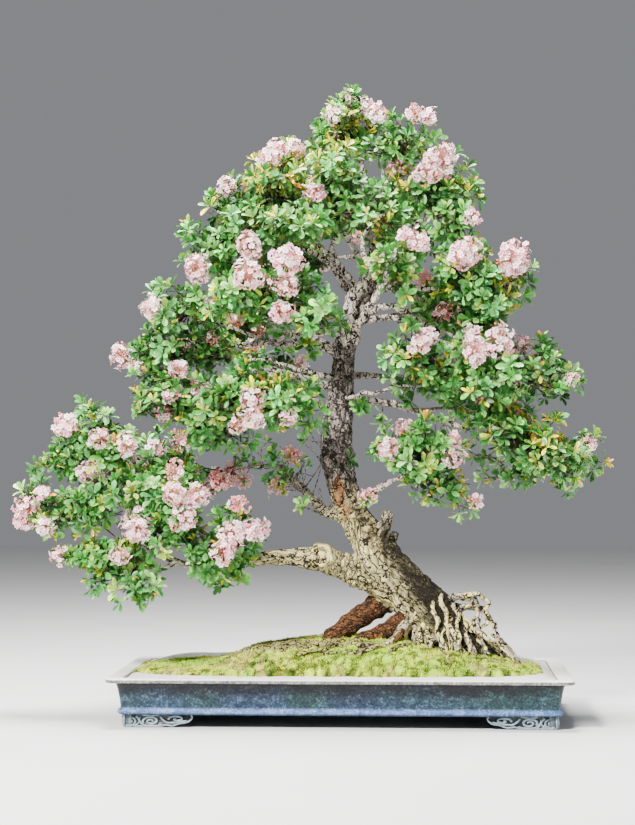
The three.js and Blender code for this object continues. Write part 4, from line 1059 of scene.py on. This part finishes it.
# Shoots beyond the sprays: x and z of the tip, in millimetres from the tray's middle
SHOOTS = (
    (21, 1258), (6, 1244), (38, 1242), (-52, 1204), (-44, 1186), (229, 1143), (250, 1108), (264, 1080),
    (273, 1046), (-383, 857), (-366, 868), (-519, 631), (-500, 620), (-532, 612), (-566, 330), (-545, 316),
    (-516, 322), (-200, 284), (-216, 296), (90, 565), (78, 592), (74, 545), (430, 599), (485, 564),
    (34, 626), (-62, 737), (-74, 752), (60, 528), (96, 520), (110, 508), (-14, 1216), (186, 1160),
    (-224, 1086),
)
# Mostly bare twigs round the slanting limb: how many, and the stretch of wood they stand on, in metres
FAN_COUNT = 60
FAN_LOW = (-0.17, 0.4)
FAN_HIGH = (-0.045, 0.56)
SHOOT_RADIUS, FAN_RADIUS, SHOOT_TIP_RADIUS = 0.0016, 0.0012, 0.0008
# Small heads: how near a spray they stand on it, how many more are behind the tree, and the radii of these
ON_SPRAY = 0.03
HEADS_BEHIND = 42
RADII_BEHIND = (0.016, 0.032)


def carrier(x, z):
    """The point of a spray or of the wood nearest to x, z in the picture's plane, these two in millimetres."""
    best = []
    for points, worth in ((all_spots, 1.0), (wood_corners, 1.15)):
        far = np.hypot(points[:, 0] - OX - x * MM, points[:, 2] - z * MM)
        far += 0.1 * (points[:, 1] - OY).clip(-0.1, 0.2)
        i = int(np.argmin(far))
        best.append((far[i] * worth, points[i]))
    return min(best, key=lambda b: b[0])[1]


rng = np.random.default_rng(37)
shoot_paths, shoot_radii, shoot_spots, shoot_axes = [], [], [], []


def add_shoot(root, tip, whorl_count, thick=SHOOT_RADIUS):
    middle = (root + tip) / 2 + rng.normal(0, 0.06, 3) * np.linalg.norm(tip - root)
    path = curve_through([root, middle, tip], 3)
    shoot_paths.append(path)
    shoot_radii.append(np.linspace(thick, SHOOT_TIP_RADIUS, len(path)))
    for share in np.linspace(1, 0.45, whorl_count):
        shoot_spots.append(path[int(round(share * (len(path) - 1)))])
        shoot_axes.append(unit(unit(tip - root) + np.array((0, -0.25, 0.5)) + rng.normal(0, 0.2, 3)))


for x, z in SHOOTS:
    root = carrier(x, z)
    add_shoot(root, np.array((OX + x * MM, root[1] - 0.008, z * MM)), 3)
seen = wood_corners[:, (0, 2)] - (OX, 0)
on_limb = wood_corners[np.all((seen > FAN_LOW) & (seen < FAN_HIGH), 1)]
for _ in range(FAN_COUNT):
    root = on_limb[rng.integers(len(on_limb))]
    way = unit(np.array((-0.5, -0.15, 0.5)) + rng.normal(0, 0.6, 3))
    tip = root + way * rng.uniform(0.025, 0.075)
    add_shoot(root, tip, int(rng.random() < 0.4), FAN_RADIUS)

# Pale boughs across the open middle of the crown: radius at the wood and at the end, then x, z in millimetres
BOUGHS = (
    (6.5, 3.2, ((30, 866), (3, 899), (-13, 920), (-21, 944), (-14, 966))),
    (4.2, 2.4, ((-18, 930), (-48, 944), (-74, 964), (-96, 969))),
    (7, 2.6, ((8, 752), (-17, 771), (-44, 775), (-74, 768), (-96, 776), (-140, 760), (-188, 752))),
    (5.5, 2.4, ((-20, 686), (-78, 697), (-119, 708), (-153, 719), (-190, 713), (-214, 700))),
    (7.5, 3, ((38, 800), (58, 820), (92, 829), (119, 821), (145, 806), (176, 786), (206, 775), (238, 762))),
    (8, 5, ((26, 778), (40, 804), (60, 832), (84, 863), (94, 896), (112, 924))),
    (5.5, 3, ((72, 908), (94, 944), (119, 967), (139, 989), (160, 1002))),
    (5.5, 3, ((58, 896), (45, 924), (43, 954), (58, 981), (86, 1002))),
    (4.8, 2.4, ((8, 640), (42, 652), (76, 653), (105, 668), (138, 661))),
    (19, 11, ((16, 752), (10, 796), (20, 842), (46, 882), (64, 914))),
)


def boughs():
    paths, radii = [], []
    for thick, thin, line in BOUGHS:
        near, far = carrier(*line[0])[1], carrier(*line[-1])[1]
        share = np.linspace(0, 1, len(line))
        points = [(OX + x * MM, near * (1 - s) + far * s - 0.008 * s, z * MM) for (x, z), s in zip(line, share)]
        path = curve_through(points, 8)
        wave = np.arange(len(path)) * 0.7 + thick
        path[:, 0] += 0.0016 * np.sin(wave)
        path[:, 2] += 0.002 * np.cos(wave * 1.2)
        paths.append(path)
        radii.append(swelling(thick, thin, wave * 1.9, 0.13))
    bark_tubes("boughs", tubes(paths, radii, 10), LIMB_BARK, 0.7, 1.1, (90, 85), (1, 1, 0.6), 0.5)


boughs()

extra = []
for x, z, r, buds in SMALL_HEADS:
    dx = all_spots[:, 0] - OX - x * MM
    dz = all_spots[:, 2] - z * MM
    i = int(np.argmin(np.hypot(dx, dz) + 0.12 * (all_spots[:, 1] - OY)))
    if math.hypot(dx[i], dz[i]) < ON_SPRAY:
        out = unit(all_axes[i] + np.array((0, -0.8, 0.2)))
        place = all_spots[i] + out * r * MM * (1.5 if buds > BUD_HEAD else 0.95)
    else:
        root = carrier(x, z)
        place = np.array((OX + x * MM, root[1] - 0.012, z * MM))
        out = unit(place - root + np.array((0, -0.01, 0.02)))
        add_shoot(root, place - out * r * MM * 0.4, 1)
    extra.append((place, r * MM * HEAD_SWELL, out, buds))
rng = np.random.default_rng(31)
behind = np.flatnonzero(all_spots[:, 1] > OY + 0.02)
for i in rng.choice(behind, HEADS_BEHIND, replace=False):
    r = rng.uniform(*RADII_BEHIND)
    extra.append((all_spots[i] + all_axes[i] * r * 0.7, r, all_axes[i], rng.choice((0.2, 0.3, 0.8))))
dress(clusters_mesh("small_heads", extra, 41), "petal")

in_light = np.ones(len(shoot_spots))
leaves("leaves_shoots", leaf_arrays(np.array(shoot_spots), np.array(shoot_axes), 43, in_light, 5, 9))
bark_tubes("shoots", tubes(shoot_paths, shoot_radii, 4), LIMB_BARK, 0.6, 0, (90, 0), 1)


# The tray

OUTER_RADIUS, INNER_RADIUS = 0.016, 0.012
TRAY_HALF_X, TRAY_HALF_Y = 0.45, 0.245
DRAIN_X, DRAIN_RADIUS = 0.2, 0.018
# The tray's outline from below, as distance inwards from its lip and height, in millimetres
TRAY_BEAD = ((34, 24), (25, 25.2), (21.6, 28), (20.6, 31.2), (21.6, 34.6), (25.2, 37.4), (26, 40))
TRAY_WALL = ((26, 40), (24.6, 52), (22.2, 66), (19.4, 80), (17.4, 85))
TRAY_LIP = ((17.4, 85), (14, 86.6), (3.4, 87.6), (0.8, 88.6), (0, 90.2), (0, 93.2), (0.7, 95.2), (2.6, 96))
TRAY_INSIDE = ((28, 96), (29.4, 95.5), (30.2, 94), (36, 60), (40, 37))


def tray_ring(inset, z, radius, arc=9, along_x=24, along_y=12):
    """Corners round the tray at one height: rounded corners and straight sides."""
    ring = []
    hx, hy = TRAY_HALF_X - inset, TRAY_HALF_Y - inset
    for c, (sx, sy) in enumerate(((1, 1), (-1, 1), (-1, -1), (1, -1))):
        for i in range(arc):
            t = math.pi / 2 * (c + i / (arc - 1))
            ring.append((sx * (hx - radius) + radius * math.cos(t), sy * (hy - radius) + radius * math.sin(t)))
        n = (along_x, along_y)[c % 2]
        for i in range(1, n):
            t = 1 - 2 * i / n
            ring.append((sx * hx, sy * (hy - radius) * t) if c % 2 else (sx * (hx - radius) * t, sy * hy))
    return [(x + OX, y + OY, z) for x, y in ring]


def tray_piece():
    bead, wall, lip = curve_through(TRAY_BEAD, 4), curve_through(TRAY_WALL, 3)[1:], curve_through(TRAY_LIP, 3)[1:]
    rings = [tray_ring(i * MM, z * MM, OUTER_RADIUS) for i, z in np.vstack([bead, wall, lip])]
    rings += [tray_ring(i * MM, z * MM, INNER_RADIUS) for i, z in TRAY_INSIDE]
    n = len(rings[0])
    last = (len(rings) - 1) * n
    faces = ring_faces(len(rings), n) + [list(range(n))[::-1], list(range(last, last + n))]
    tray = make("tray_body", np.concatenate(rings), faces, GLAZE)
    for sx in (-1, 1):
        place = (OX + sx * DRAIN_X, OY, 0.03)
        bpy.ops.mesh.primitive_cylinder_add(vertices=40, radius=DRAIN_RADIUS, depth=0.05, location=place)
        drill = bpy.context.object
        cut = tray.modifiers.new("drain", "BOOLEAN")
        cut.object = drill
        cut.operation = "DIFFERENCE"
        bpy.context.view_layer.update()
        done = finished_mesh(tray)
        tray.modifiers.clear()
        tray.data = done
        bpy.data.objects.remove(drill)
    tray.data.polygons.foreach_set("use_smooth", np.ones(len(tray.data.polygons), bool))
    return tray


FOOT_INSET = 0.032
FOOT_DEPTH = 0.016
FOOT_SUNK = 0.0034
FOOT_TOP = 0.0265
FOOT_LENGTHS = (132, 92)
FOOT_DARK = np.array((0.014, 0.02, 0.026))
FOOT_PALE = np.array((0.24, 0.31, 0.35))
# A foot's outline from its outer corner: first at its own size, then drawn out to the foot's length, in millimetres
FOOT_CORNER = ((0, 26), (-1.2, 19), (-2, 11), (0.5, 4), (7, 0.6), (18, 0))
FOOT_TAIL = (
    (27, 2.6), (33, 2.2), (42, 0), (62, 0), (73, 1.2), (80, 4.6), (86, 4.4), (97, 3.6), (110, 8), (124, 10.5),
    (131, 15), (134, 20), (131, 26),
)


def foot_outline(s):
    """A scroll foot seen from the side, in metres."""
    points = [*FOOT_CORNER, *((a * s, h) for a, h in FOOT_TAIL)]
    return np.maximum(curve_through(points, 3), (-5, 0)) * MM


def spiral(cx, cz, radius, turns, start, squash, steps=30):
    """A scroll line that winds in from its rim, in the plane of the foot's face. Negative turns wind clockwise."""
    t = np.linspace(0, 1, steps)
    angle = start + t * turns * TURN
    r = radius * (1 - 0.84 * t)
    return np.stack([cx + r * np.cos(angle) * squash, cz + r * np.sin(angle)], 1)


def foot_scrolls(s):
    """The raised lines on a foot's face with their radii at both ends, in millimetres."""
    return (
        (spiral(14.5, 12.6, 10.2, 1.5, -2.4, 1.15), 2.5, 1.5),
        (spiral(54 * s, 12.2, 9.6, -1.6, 3.6, 1.7 * max(s, 0.8)), 2.5, 1.5),
        (spiral(104 * s, 16.5, 6.4, -1.25, 3.4, 2.5 * s), 2.2, 1.4),
        (curve_through([(25, 22), (31 * s, 15), (36 * s, 7), (46 * s, 3), (62 * s, 2.8), (76 * s, 5)], 5), 2.6, 1.8),
        (curve_through([(72 * s, 21), (79 * s, 13), (88 * s, 9), (106 * s, 10.4), (124 * s, 13.6)], 5), 2.3, 1.6),
        (curve_through([(24 * s, 4), (30 * s, 9), (33 * s, 20)], 5), 1.7, 1.2),
        (curve_through([(38 * s, 24), (54 * s, 22.6), (70 * s, 24)], 5), 1.7, 1.2),
    )


def foot_piece(name, sx, sy):
    """The L of two scroll plates at one corner, with raised scrolls on both outer faces."""

    def place(side, along, height, back):
        inwards = (along, back) if side == 0 else (back, along)
        x, y = (half - FOOT_INSET - i for half, i in zip((TRAY_HALF_X, TRAY_HALF_Y), inwards))
        return np.array((OX + sx * x, OY + sy * y, height))

    parts = Parts()
    ridges, ridge_radii = [], []
    for side, length in enumerate(FOOT_LENGTHS):
        s = length / FOOT_LENGTHS[0]
        line = foot_outline(s)
        n = len(line)
        plate = [place(side, a, min(h, FOOT_TOP), back) for back in (FOOT_SUNK, FOOT_DEPTH) for a, h in line]
        faces = ring_faces(2, n) + [list(range(n)), list(range(n, 2 * n))[::-1]]
        parts.add(plate, faces, [FOOT_DARK] * n + [FOOT_PALE * 0.6] * n)
        for path, thick, thin in foot_scrolls(s):
            ridges.append([place(side, a * MM, max(h, thick + 0.3) * MM, 0.0014) for a, h in path])
            ridge_radii.append(np.linspace(thick, thin, len(path)) * MM)
        ridges.append([place(side, a, min(max(h, 0.0021), 0.0252), 0.002) for a, h in line])
        ridge_radii.append(np.full(n, 0.0018))
    verts, faces = tubes(ridges, ridge_radii, 7)
    parts.add(verts, faces, [FOOT_PALE] * len(verts))
    dress(make(name, parts.verts, parts.faces, FOOT, np.array(parts.tints)), "glaze")


dress(tray_piece(), "glaze", "tray")
for y_side, sy in (("front", -1), ("back", 1)):
    for x_side, sx in (("left", -1), ("right", 1)):
        foot_piece(f"foot_{y_side}_{x_side}", sx, sy)


# The ground: moss over the mound, sand round it

MOUND_HALF_X = 0.404
MOUND_FRONT, MOUND_REAR = 0.198, 0.168
MOUND_X = -0.006
FRONT_SQUARENESS, REAR_SQUARENESS = 5, 1.6
SAND_AT_WALL = 0.09
SAND_AT_MOUND = 0.099
SAND_REAR_RISE = 0.006
SAND_CREST, SAND_REAR_CREST = 0.003, 0.011
SAND_TURNS, SAND_STEPS = 460, 14
RIDGE_HEIGHT = 0.056
RIDGE_X = 0.07
RIDGE_LEFT, RIDGE_RIGHT = 0.5, 0.345
SHOULDER_LOW_X, SHOULDER_HIGH_X = -0.27, -0.17
LOW_BED_SHARE = 0.2
CAVITY_INSET = 0.0312
MOSS_STEP = 0.0036
MOSS_REACH = 1.045
CUSHIONS, SMALL_CUSHIONS = 48, 120  # to the metre
THIRD_TURN = 2.0944
MOSS_LIFT = 0.0022
MOSS_TUFTS = 26000
MOSS_GREEN = np.array((0.46, 0.8, 0.05))
MOSS_LIME = (0.62, 1.0, 0.03)
LIME_X, LIME_REACH = 0.09, 0.2
# Yellow, deep green and ochre patches on the moss: colour, strength, scale and seed of a noise, its level and reach
MOSS_PATCHES = (
    ((0.86, 1.0, 0.1), 1, 15, 201, 0.32, 0.3),
    ((0.05, 0.12, 0.015), 0.85, 55, 211, 0.43, -0.08),
    ((0.7, 0.6, 0.2), 0.6, 26, 221, 0.56, 0.1),
)


def mound_reach(dx, dy):
    """How far the mound's edge is from its middle in a direction."""
    n = np.where(dy < 0, FRONT_SQUARENESS, REAR_SQUARENESS)
    depth = np.where(dy < 0, MOUND_FRONT, MOUND_REAR)
    return (np.abs(dx / MOUND_HALF_X) ** n + np.abs(dy / depth) ** n) ** (-1 / n)


def rearward(dy):
    return np.minimum(1, 2.5 * np.maximum(0, dy))


def edge_height(dy):
    return SAND_AT_MOUND + SAND_REAR_RISE * rearward(dy)


def mound_height(x, y):
    """The mound's surface at places from the tray's middle, and the share of the way to its edge."""
    far = np.maximum(np.hypot(x - MOUND_X, y), 1e-6)
    dx, dy = (x - MOUND_X) / far, y / far
    e = far / mound_reach(dx, dy)
    c = np.minimum(e, 1)
    side = np.where(x < RIDGE_X, RIDGE_LEFT, RIDGE_RIGHT)
    step = rise(x, SHOULDER_LOW_X, SHOULDER_HIGH_X - SHOULDER_LOW_X)
    shoulder = LOW_BED_SHARE + (1 - LOW_BED_SHARE) * step * step * (3 - 2 * step)
    ridge = RIDGE_HEIGHT * (1 - np.minimum(1, np.abs((x - RIDGE_X) / side)) ** 1.6) * shoulder
    ridge = ridge + 0.0025 * np.sin(x / 0.037) * np.cos(7 * dx + 9 * c)
    return edge_height(dy) * c**2 + SAND_AT_MOUND * (1 - c**2) + ridge * (1 - c**4), e


def moss_tint(p):
    flat = p * (1, 1, 0)
    tint = MOSS_GREEN
    for colour, share, scale, salt, level, reach in MOSS_PATCHES:
        tint = blend(tint, colour, share * rise(layered_noise(flat, scale, salt), level, reach))
    lime = fall(np.abs(p[:, 0] - OX - LIME_X), LIME_REACH, LIME_REACH) * rise(layered_noise(flat, 12, 291), 0.3, 0.2)
    return blend(tint, MOSS_LIME, 0.7 * lime)


def moss_piece():
    """The carpet of moss with its cushions and creases, with shade painted into the creases, and the places on it
    where tufts can stand.
    """
    xs = np.arange(MOUND_X - MOUND_HALF_X * 1.05, MOUND_X + MOUND_HALF_X * 1.05, MOSS_STEP)
    ys = np.arange(-MOUND_FRONT * 1.05, MOUND_REAR * 1.05, MOSS_STEP)
    gx, gy = np.meshgrid(xs, ys, indexing="ij")
    flat = np.stack([gx.ravel(), gy.ravel(), np.zeros(gx.size)], 1)
    z, e = mound_height(flat[:, 0], flat[:, 1])
    ragged = 0.05 * (layered_noise(flat, 45, 231) - 0.5)
    edge = np.clip((1.0 - e - ragged) / 0.03, -1, 1)
    bent = flat + 0.012 * np.stack([layered_noise(flat, 60, s) - 0.5 for s in (261, 271)] + [0 * z], 1)
    near, second, _ = cell_noise(bent, CUSHIONS, 241)
    fine, fine_second, _ = cell_noise(bent, SMALL_CUSHIONS, 251)
    cushion = 0.0065 * (0.7 - near**2) + 0.003 * (0.6 - fine**2) + 0.004 * (layered_noise(flat, 20, 281) - 0.5)
    crease_shade = np.minimum(furrow(near, second) * 0.75 + furrow(fine, fine_second, 0.35) * 0.4, 0.92)
    at = np.stack([flat[:, 0] + OX, flat[:, 1] + OY, z], 1)
    roots = tree_of(wood_corners[wood_corners[:, 2] < 0.2][::3])
    gap = np.array([roots.find(p)[2] for p in at])
    edge = np.where(edge > 0, edge * rise(gap, 0.002, 0.016), edge)
    at[:, 2] += (MOSS_LIFT + cushion) * np.maximum(edge, 0) + 0.014 * np.minimum(edge, 0)
    index = np.arange(gx.size).reshape(gx.shape)
    ok = (e < MOSS_REACH).reshape(gx.shape)
    quad = ok[:-1, :-1] & ok[1:, :-1] & ok[1:, 1:] & ok[:-1, 1:]
    corners = (index[:-1, :-1], index[1:, :-1], index[1:, 1:], index[:-1, 1:])
    used, faces = np.unique(np.stack([c[quad] for c in corners], 1), return_inverse=True)
    # Painted shade: the moss colour is darkened in the creases between cushions
    tint = moss_tint(at[used]) * (1 - crease_shade[used])[:, None]
    dress(make("moss", at[used], faces.reshape(-1, 4), MOSS, tint), "soil", "soil")
    return at[edge > 0.1]


def moss_tufts(ground):
    """Small upright points of moss all over the carpet."""
    rng = np.random.default_rng(61)
    n = MOSS_TUFTS
    base = ground[rng.integers(0, len(ground), n)] + np.array((1, 1, 0)) * rng.uniform(-0.0018, 0.0018, (n, 3))
    base[:, 2] -= 0.001
    tall = rng.uniform(0.002, 0.0055, n)
    wide = rng.uniform(0.0008, 0.0015, n)[:, None]
    tilt = rng.normal(0, 0.45, (n, 2))
    tip = base + np.stack([tilt[:, 0] * tall, tilt[:, 1] * tall, tall], 1)
    turn = rng.random(n) * SPIN
    east, north = np.eye(3)[:2]
    corners = [base + wide * around(east, north, turn + k * THIRD_TURN) for k in range(3)]
    verts = np.stack([*corners, tip], 1).reshape(-1, 3)
    start = np.arange(n)[:, None] * 4
    faces = np.concatenate([start + np.array(f) for f in ((0, 1, 3), (1, 2, 3), (2, 0, 3))])
    tint = moss_tint(verts) * rng.uniform(0.45, 1.35, (n, 1)).repeat(4, 0)
    tint[3::4] *= 1.4
    dress(make("moss_tufts", verts, faces, MOSS, tint), "soil")


moss_tufts(moss_piece())

# Roots that creep over the moss: radius, then x, y in millimetres from the tray's middle
CREEPERS = (
    (5.2, ((70, -82), (24, -98), (-30, -94), (-74, -108), (-120, -116), (-168, -108), (-212, -128))),
    (4.6, ((-20, -62), (-76, -70), (-124, -60), (-176, -70), (-226, -50))),
    (4.0, ((-40, -112), (-96, -134), (-150, -130), (-196, -152))),
    (4.8, ((84, -104), (36, -124), (-8, -122), (-58, -146), (-104, -148))),
    (3.8, ((-80, -24), (-140, -40), (-200, -26), (-258, -36))),
    (5.4, ((146, -78), (130, -112), (104, -136), (92, -166))),
    (4.2, ((196, -88), (196, -122), (214, -146), (206, -172))),
    (4.0, ((246, -84), (262, -110), (292, -124), (318, -150))),
    (3.6, ((300, -60), (326, -84), (344, -88), (366, -112))),
    (4.6, ((30, -78), (-14, -76), (-62, -88), (-112, -86), (-160, -92), (-204, -84), (-262, -98))),
    (4.2, ((-60, -40), (-110, -48), (-158, -42), (-206, -52), (-270, -60))),
    (4.4, ((20, -112), (-34, -114), (-84, -124), (-132, -142))),
    (4.0, ((110, -100), (70, -128), (44, -152), (8, -158))),
)


CREEPER_HEIGHT = 0.0068
CREEPER_DIP = 0.011


def creepers():
    paths, radii = [], []
    for thick, line in CREEPERS:
        path = curve_through([(x * MM, y * MM, 0) for x, y in line], 9)
        k = np.arange(len(path))
        path[:, 1] += 0.004 * np.sin(k * 0.8 + thick * 5)
        dip = np.abs(np.linspace(-1, 1, len(path))) ** 6 * CREEPER_DIP
        path[:, 2] = mound_height(path[:, 0], path[:, 1])[0] + CREEPER_HEIGHT - dip + 0.0015 * np.sin(k * 1.1)
        paths.append(path + (OX, OY, 0))
        radii.append(1.15 * swelling(thick, thick * 0.6, k * 1.7, 0.15))
    bark_tubes("creepers", tubes(paths, radii, 8), CREEPER_BARK, 0.4, 1.2, (70, 89), 1)


creepers()

# The bed under the moss, down to the tray's floor
BED_SUNK = 0.006
bed_verts, bed_faces = node_mesh("soil")
bed_verts[:, 2] -= np.where(bed_verts[:, 2] > SAND_AT_WALL, BED_SUNK, 0)
dress(make("soil_bed", bed_verts, bed_faces, SOIL, smooth=False), "soil")


def sand_piece():
    """The sand between the mound and the tray's wall, level at the wall and heaped along the back."""
    t = np.arange(SAND_TURNS) * TURN / SAND_TURNS
    dx, dy = np.cos(t), np.sin(t)
    inner = 0.96 * mound_reach(dx, dy)
    hx, hy = TRAY_HALF_X - CAVITY_INSET, TRAY_HALF_Y - CAVITY_INSET
    to_side = (hx - np.sign(dx) * MOUND_X) / np.maximum(np.abs(dx), 1e-6)
    outer = np.minimum(to_side, hy / np.maximum(np.abs(dy), 1e-6))
    verts = []
    for s in np.arange(SAND_STEPS + 1) / SAND_STEPS:
        r = inner * (1 - s) + outer * s
        swell = (SAND_CREST + SAND_REAR_CREST * rearward(dy)) * math.sin(math.pi * s)
        h = (edge_height(dy) - 0.0008) * (1 - s) + SAND_AT_WALL * s + swell
        p = np.stack([MOUND_X + dx * r + OX, dy * r + OY, h], 1)
        p[:, 2] += 0.0022 * (layered_noise(p, 45, 301) - 0.5) + 0.0012 * (layered_noise(p, 260, 311) - 0.5)
        verts.append(p)
    faces = [(a, d, c, b) for a, b, c, d in ring_faces(SAND_STEPS + 1, SAND_TURNS)]
    return make("sand", np.concatenate(verts), faces, SAND)


dress(sand_piece(), "sand", "sand_border")

for name in ("drain_net_left", "drain_net_right"):
    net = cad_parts[name]
    net.data.materials.clear()
    net.data.materials.append(NET)


# Stage

bpy.ops.mesh.primitive_plane_add(size=14, location=(OX, OY + 2, 0))
floor = bpy.context.object
floor.name = "floor"
pale = Nodes("floor")
pale_colour = pale.ramp(pale.noise(3, 2), (0.3, (0.66, 0.66, 0.655)), (0.7, (0.69, 0.69, 0.685)))
floor.data.materials.append(pale.finish(pale_colour, 0.8, 0.2))

world = bpy.data.worlds.new("studio")
bpy.context.scene.world = world
world.use_nodes = True
sky = world.node_tree.nodes["Background"].inputs
sky["Color"].default_value = (0.93, 0.95, 1.0, 1)
sky["Strength"].default_value = 0.26


def lamp(name, place, target, size, power, colour=(1, 1, 1)):
    data = bpy.data.lights.new(name, "AREA")
    data.shape = "SQUARE"
    data.size = size
    data.energy = power
    data.color = colour
    obj = link(bpy.data.objects.new(name, data))
    obj.location = (place[0] + OX, place[1] + OY, place[2])
    aim(obj, Vector((target[0] + OX, target[1] + OY, target[2])) - obj.location)


lamp("key", (-1.5, -2.7, 2.8), (0, 0, 0.6), 0.7, 530, (1, 0.98, 0.94))
lamp("fill", (2.6, -2.4, 1.4), (0, 0, 0.6), 1.8, 22)
lamp("top", (-0.1, 0.1, 3.0), (0, 0, 0.3), 1.0, 330)
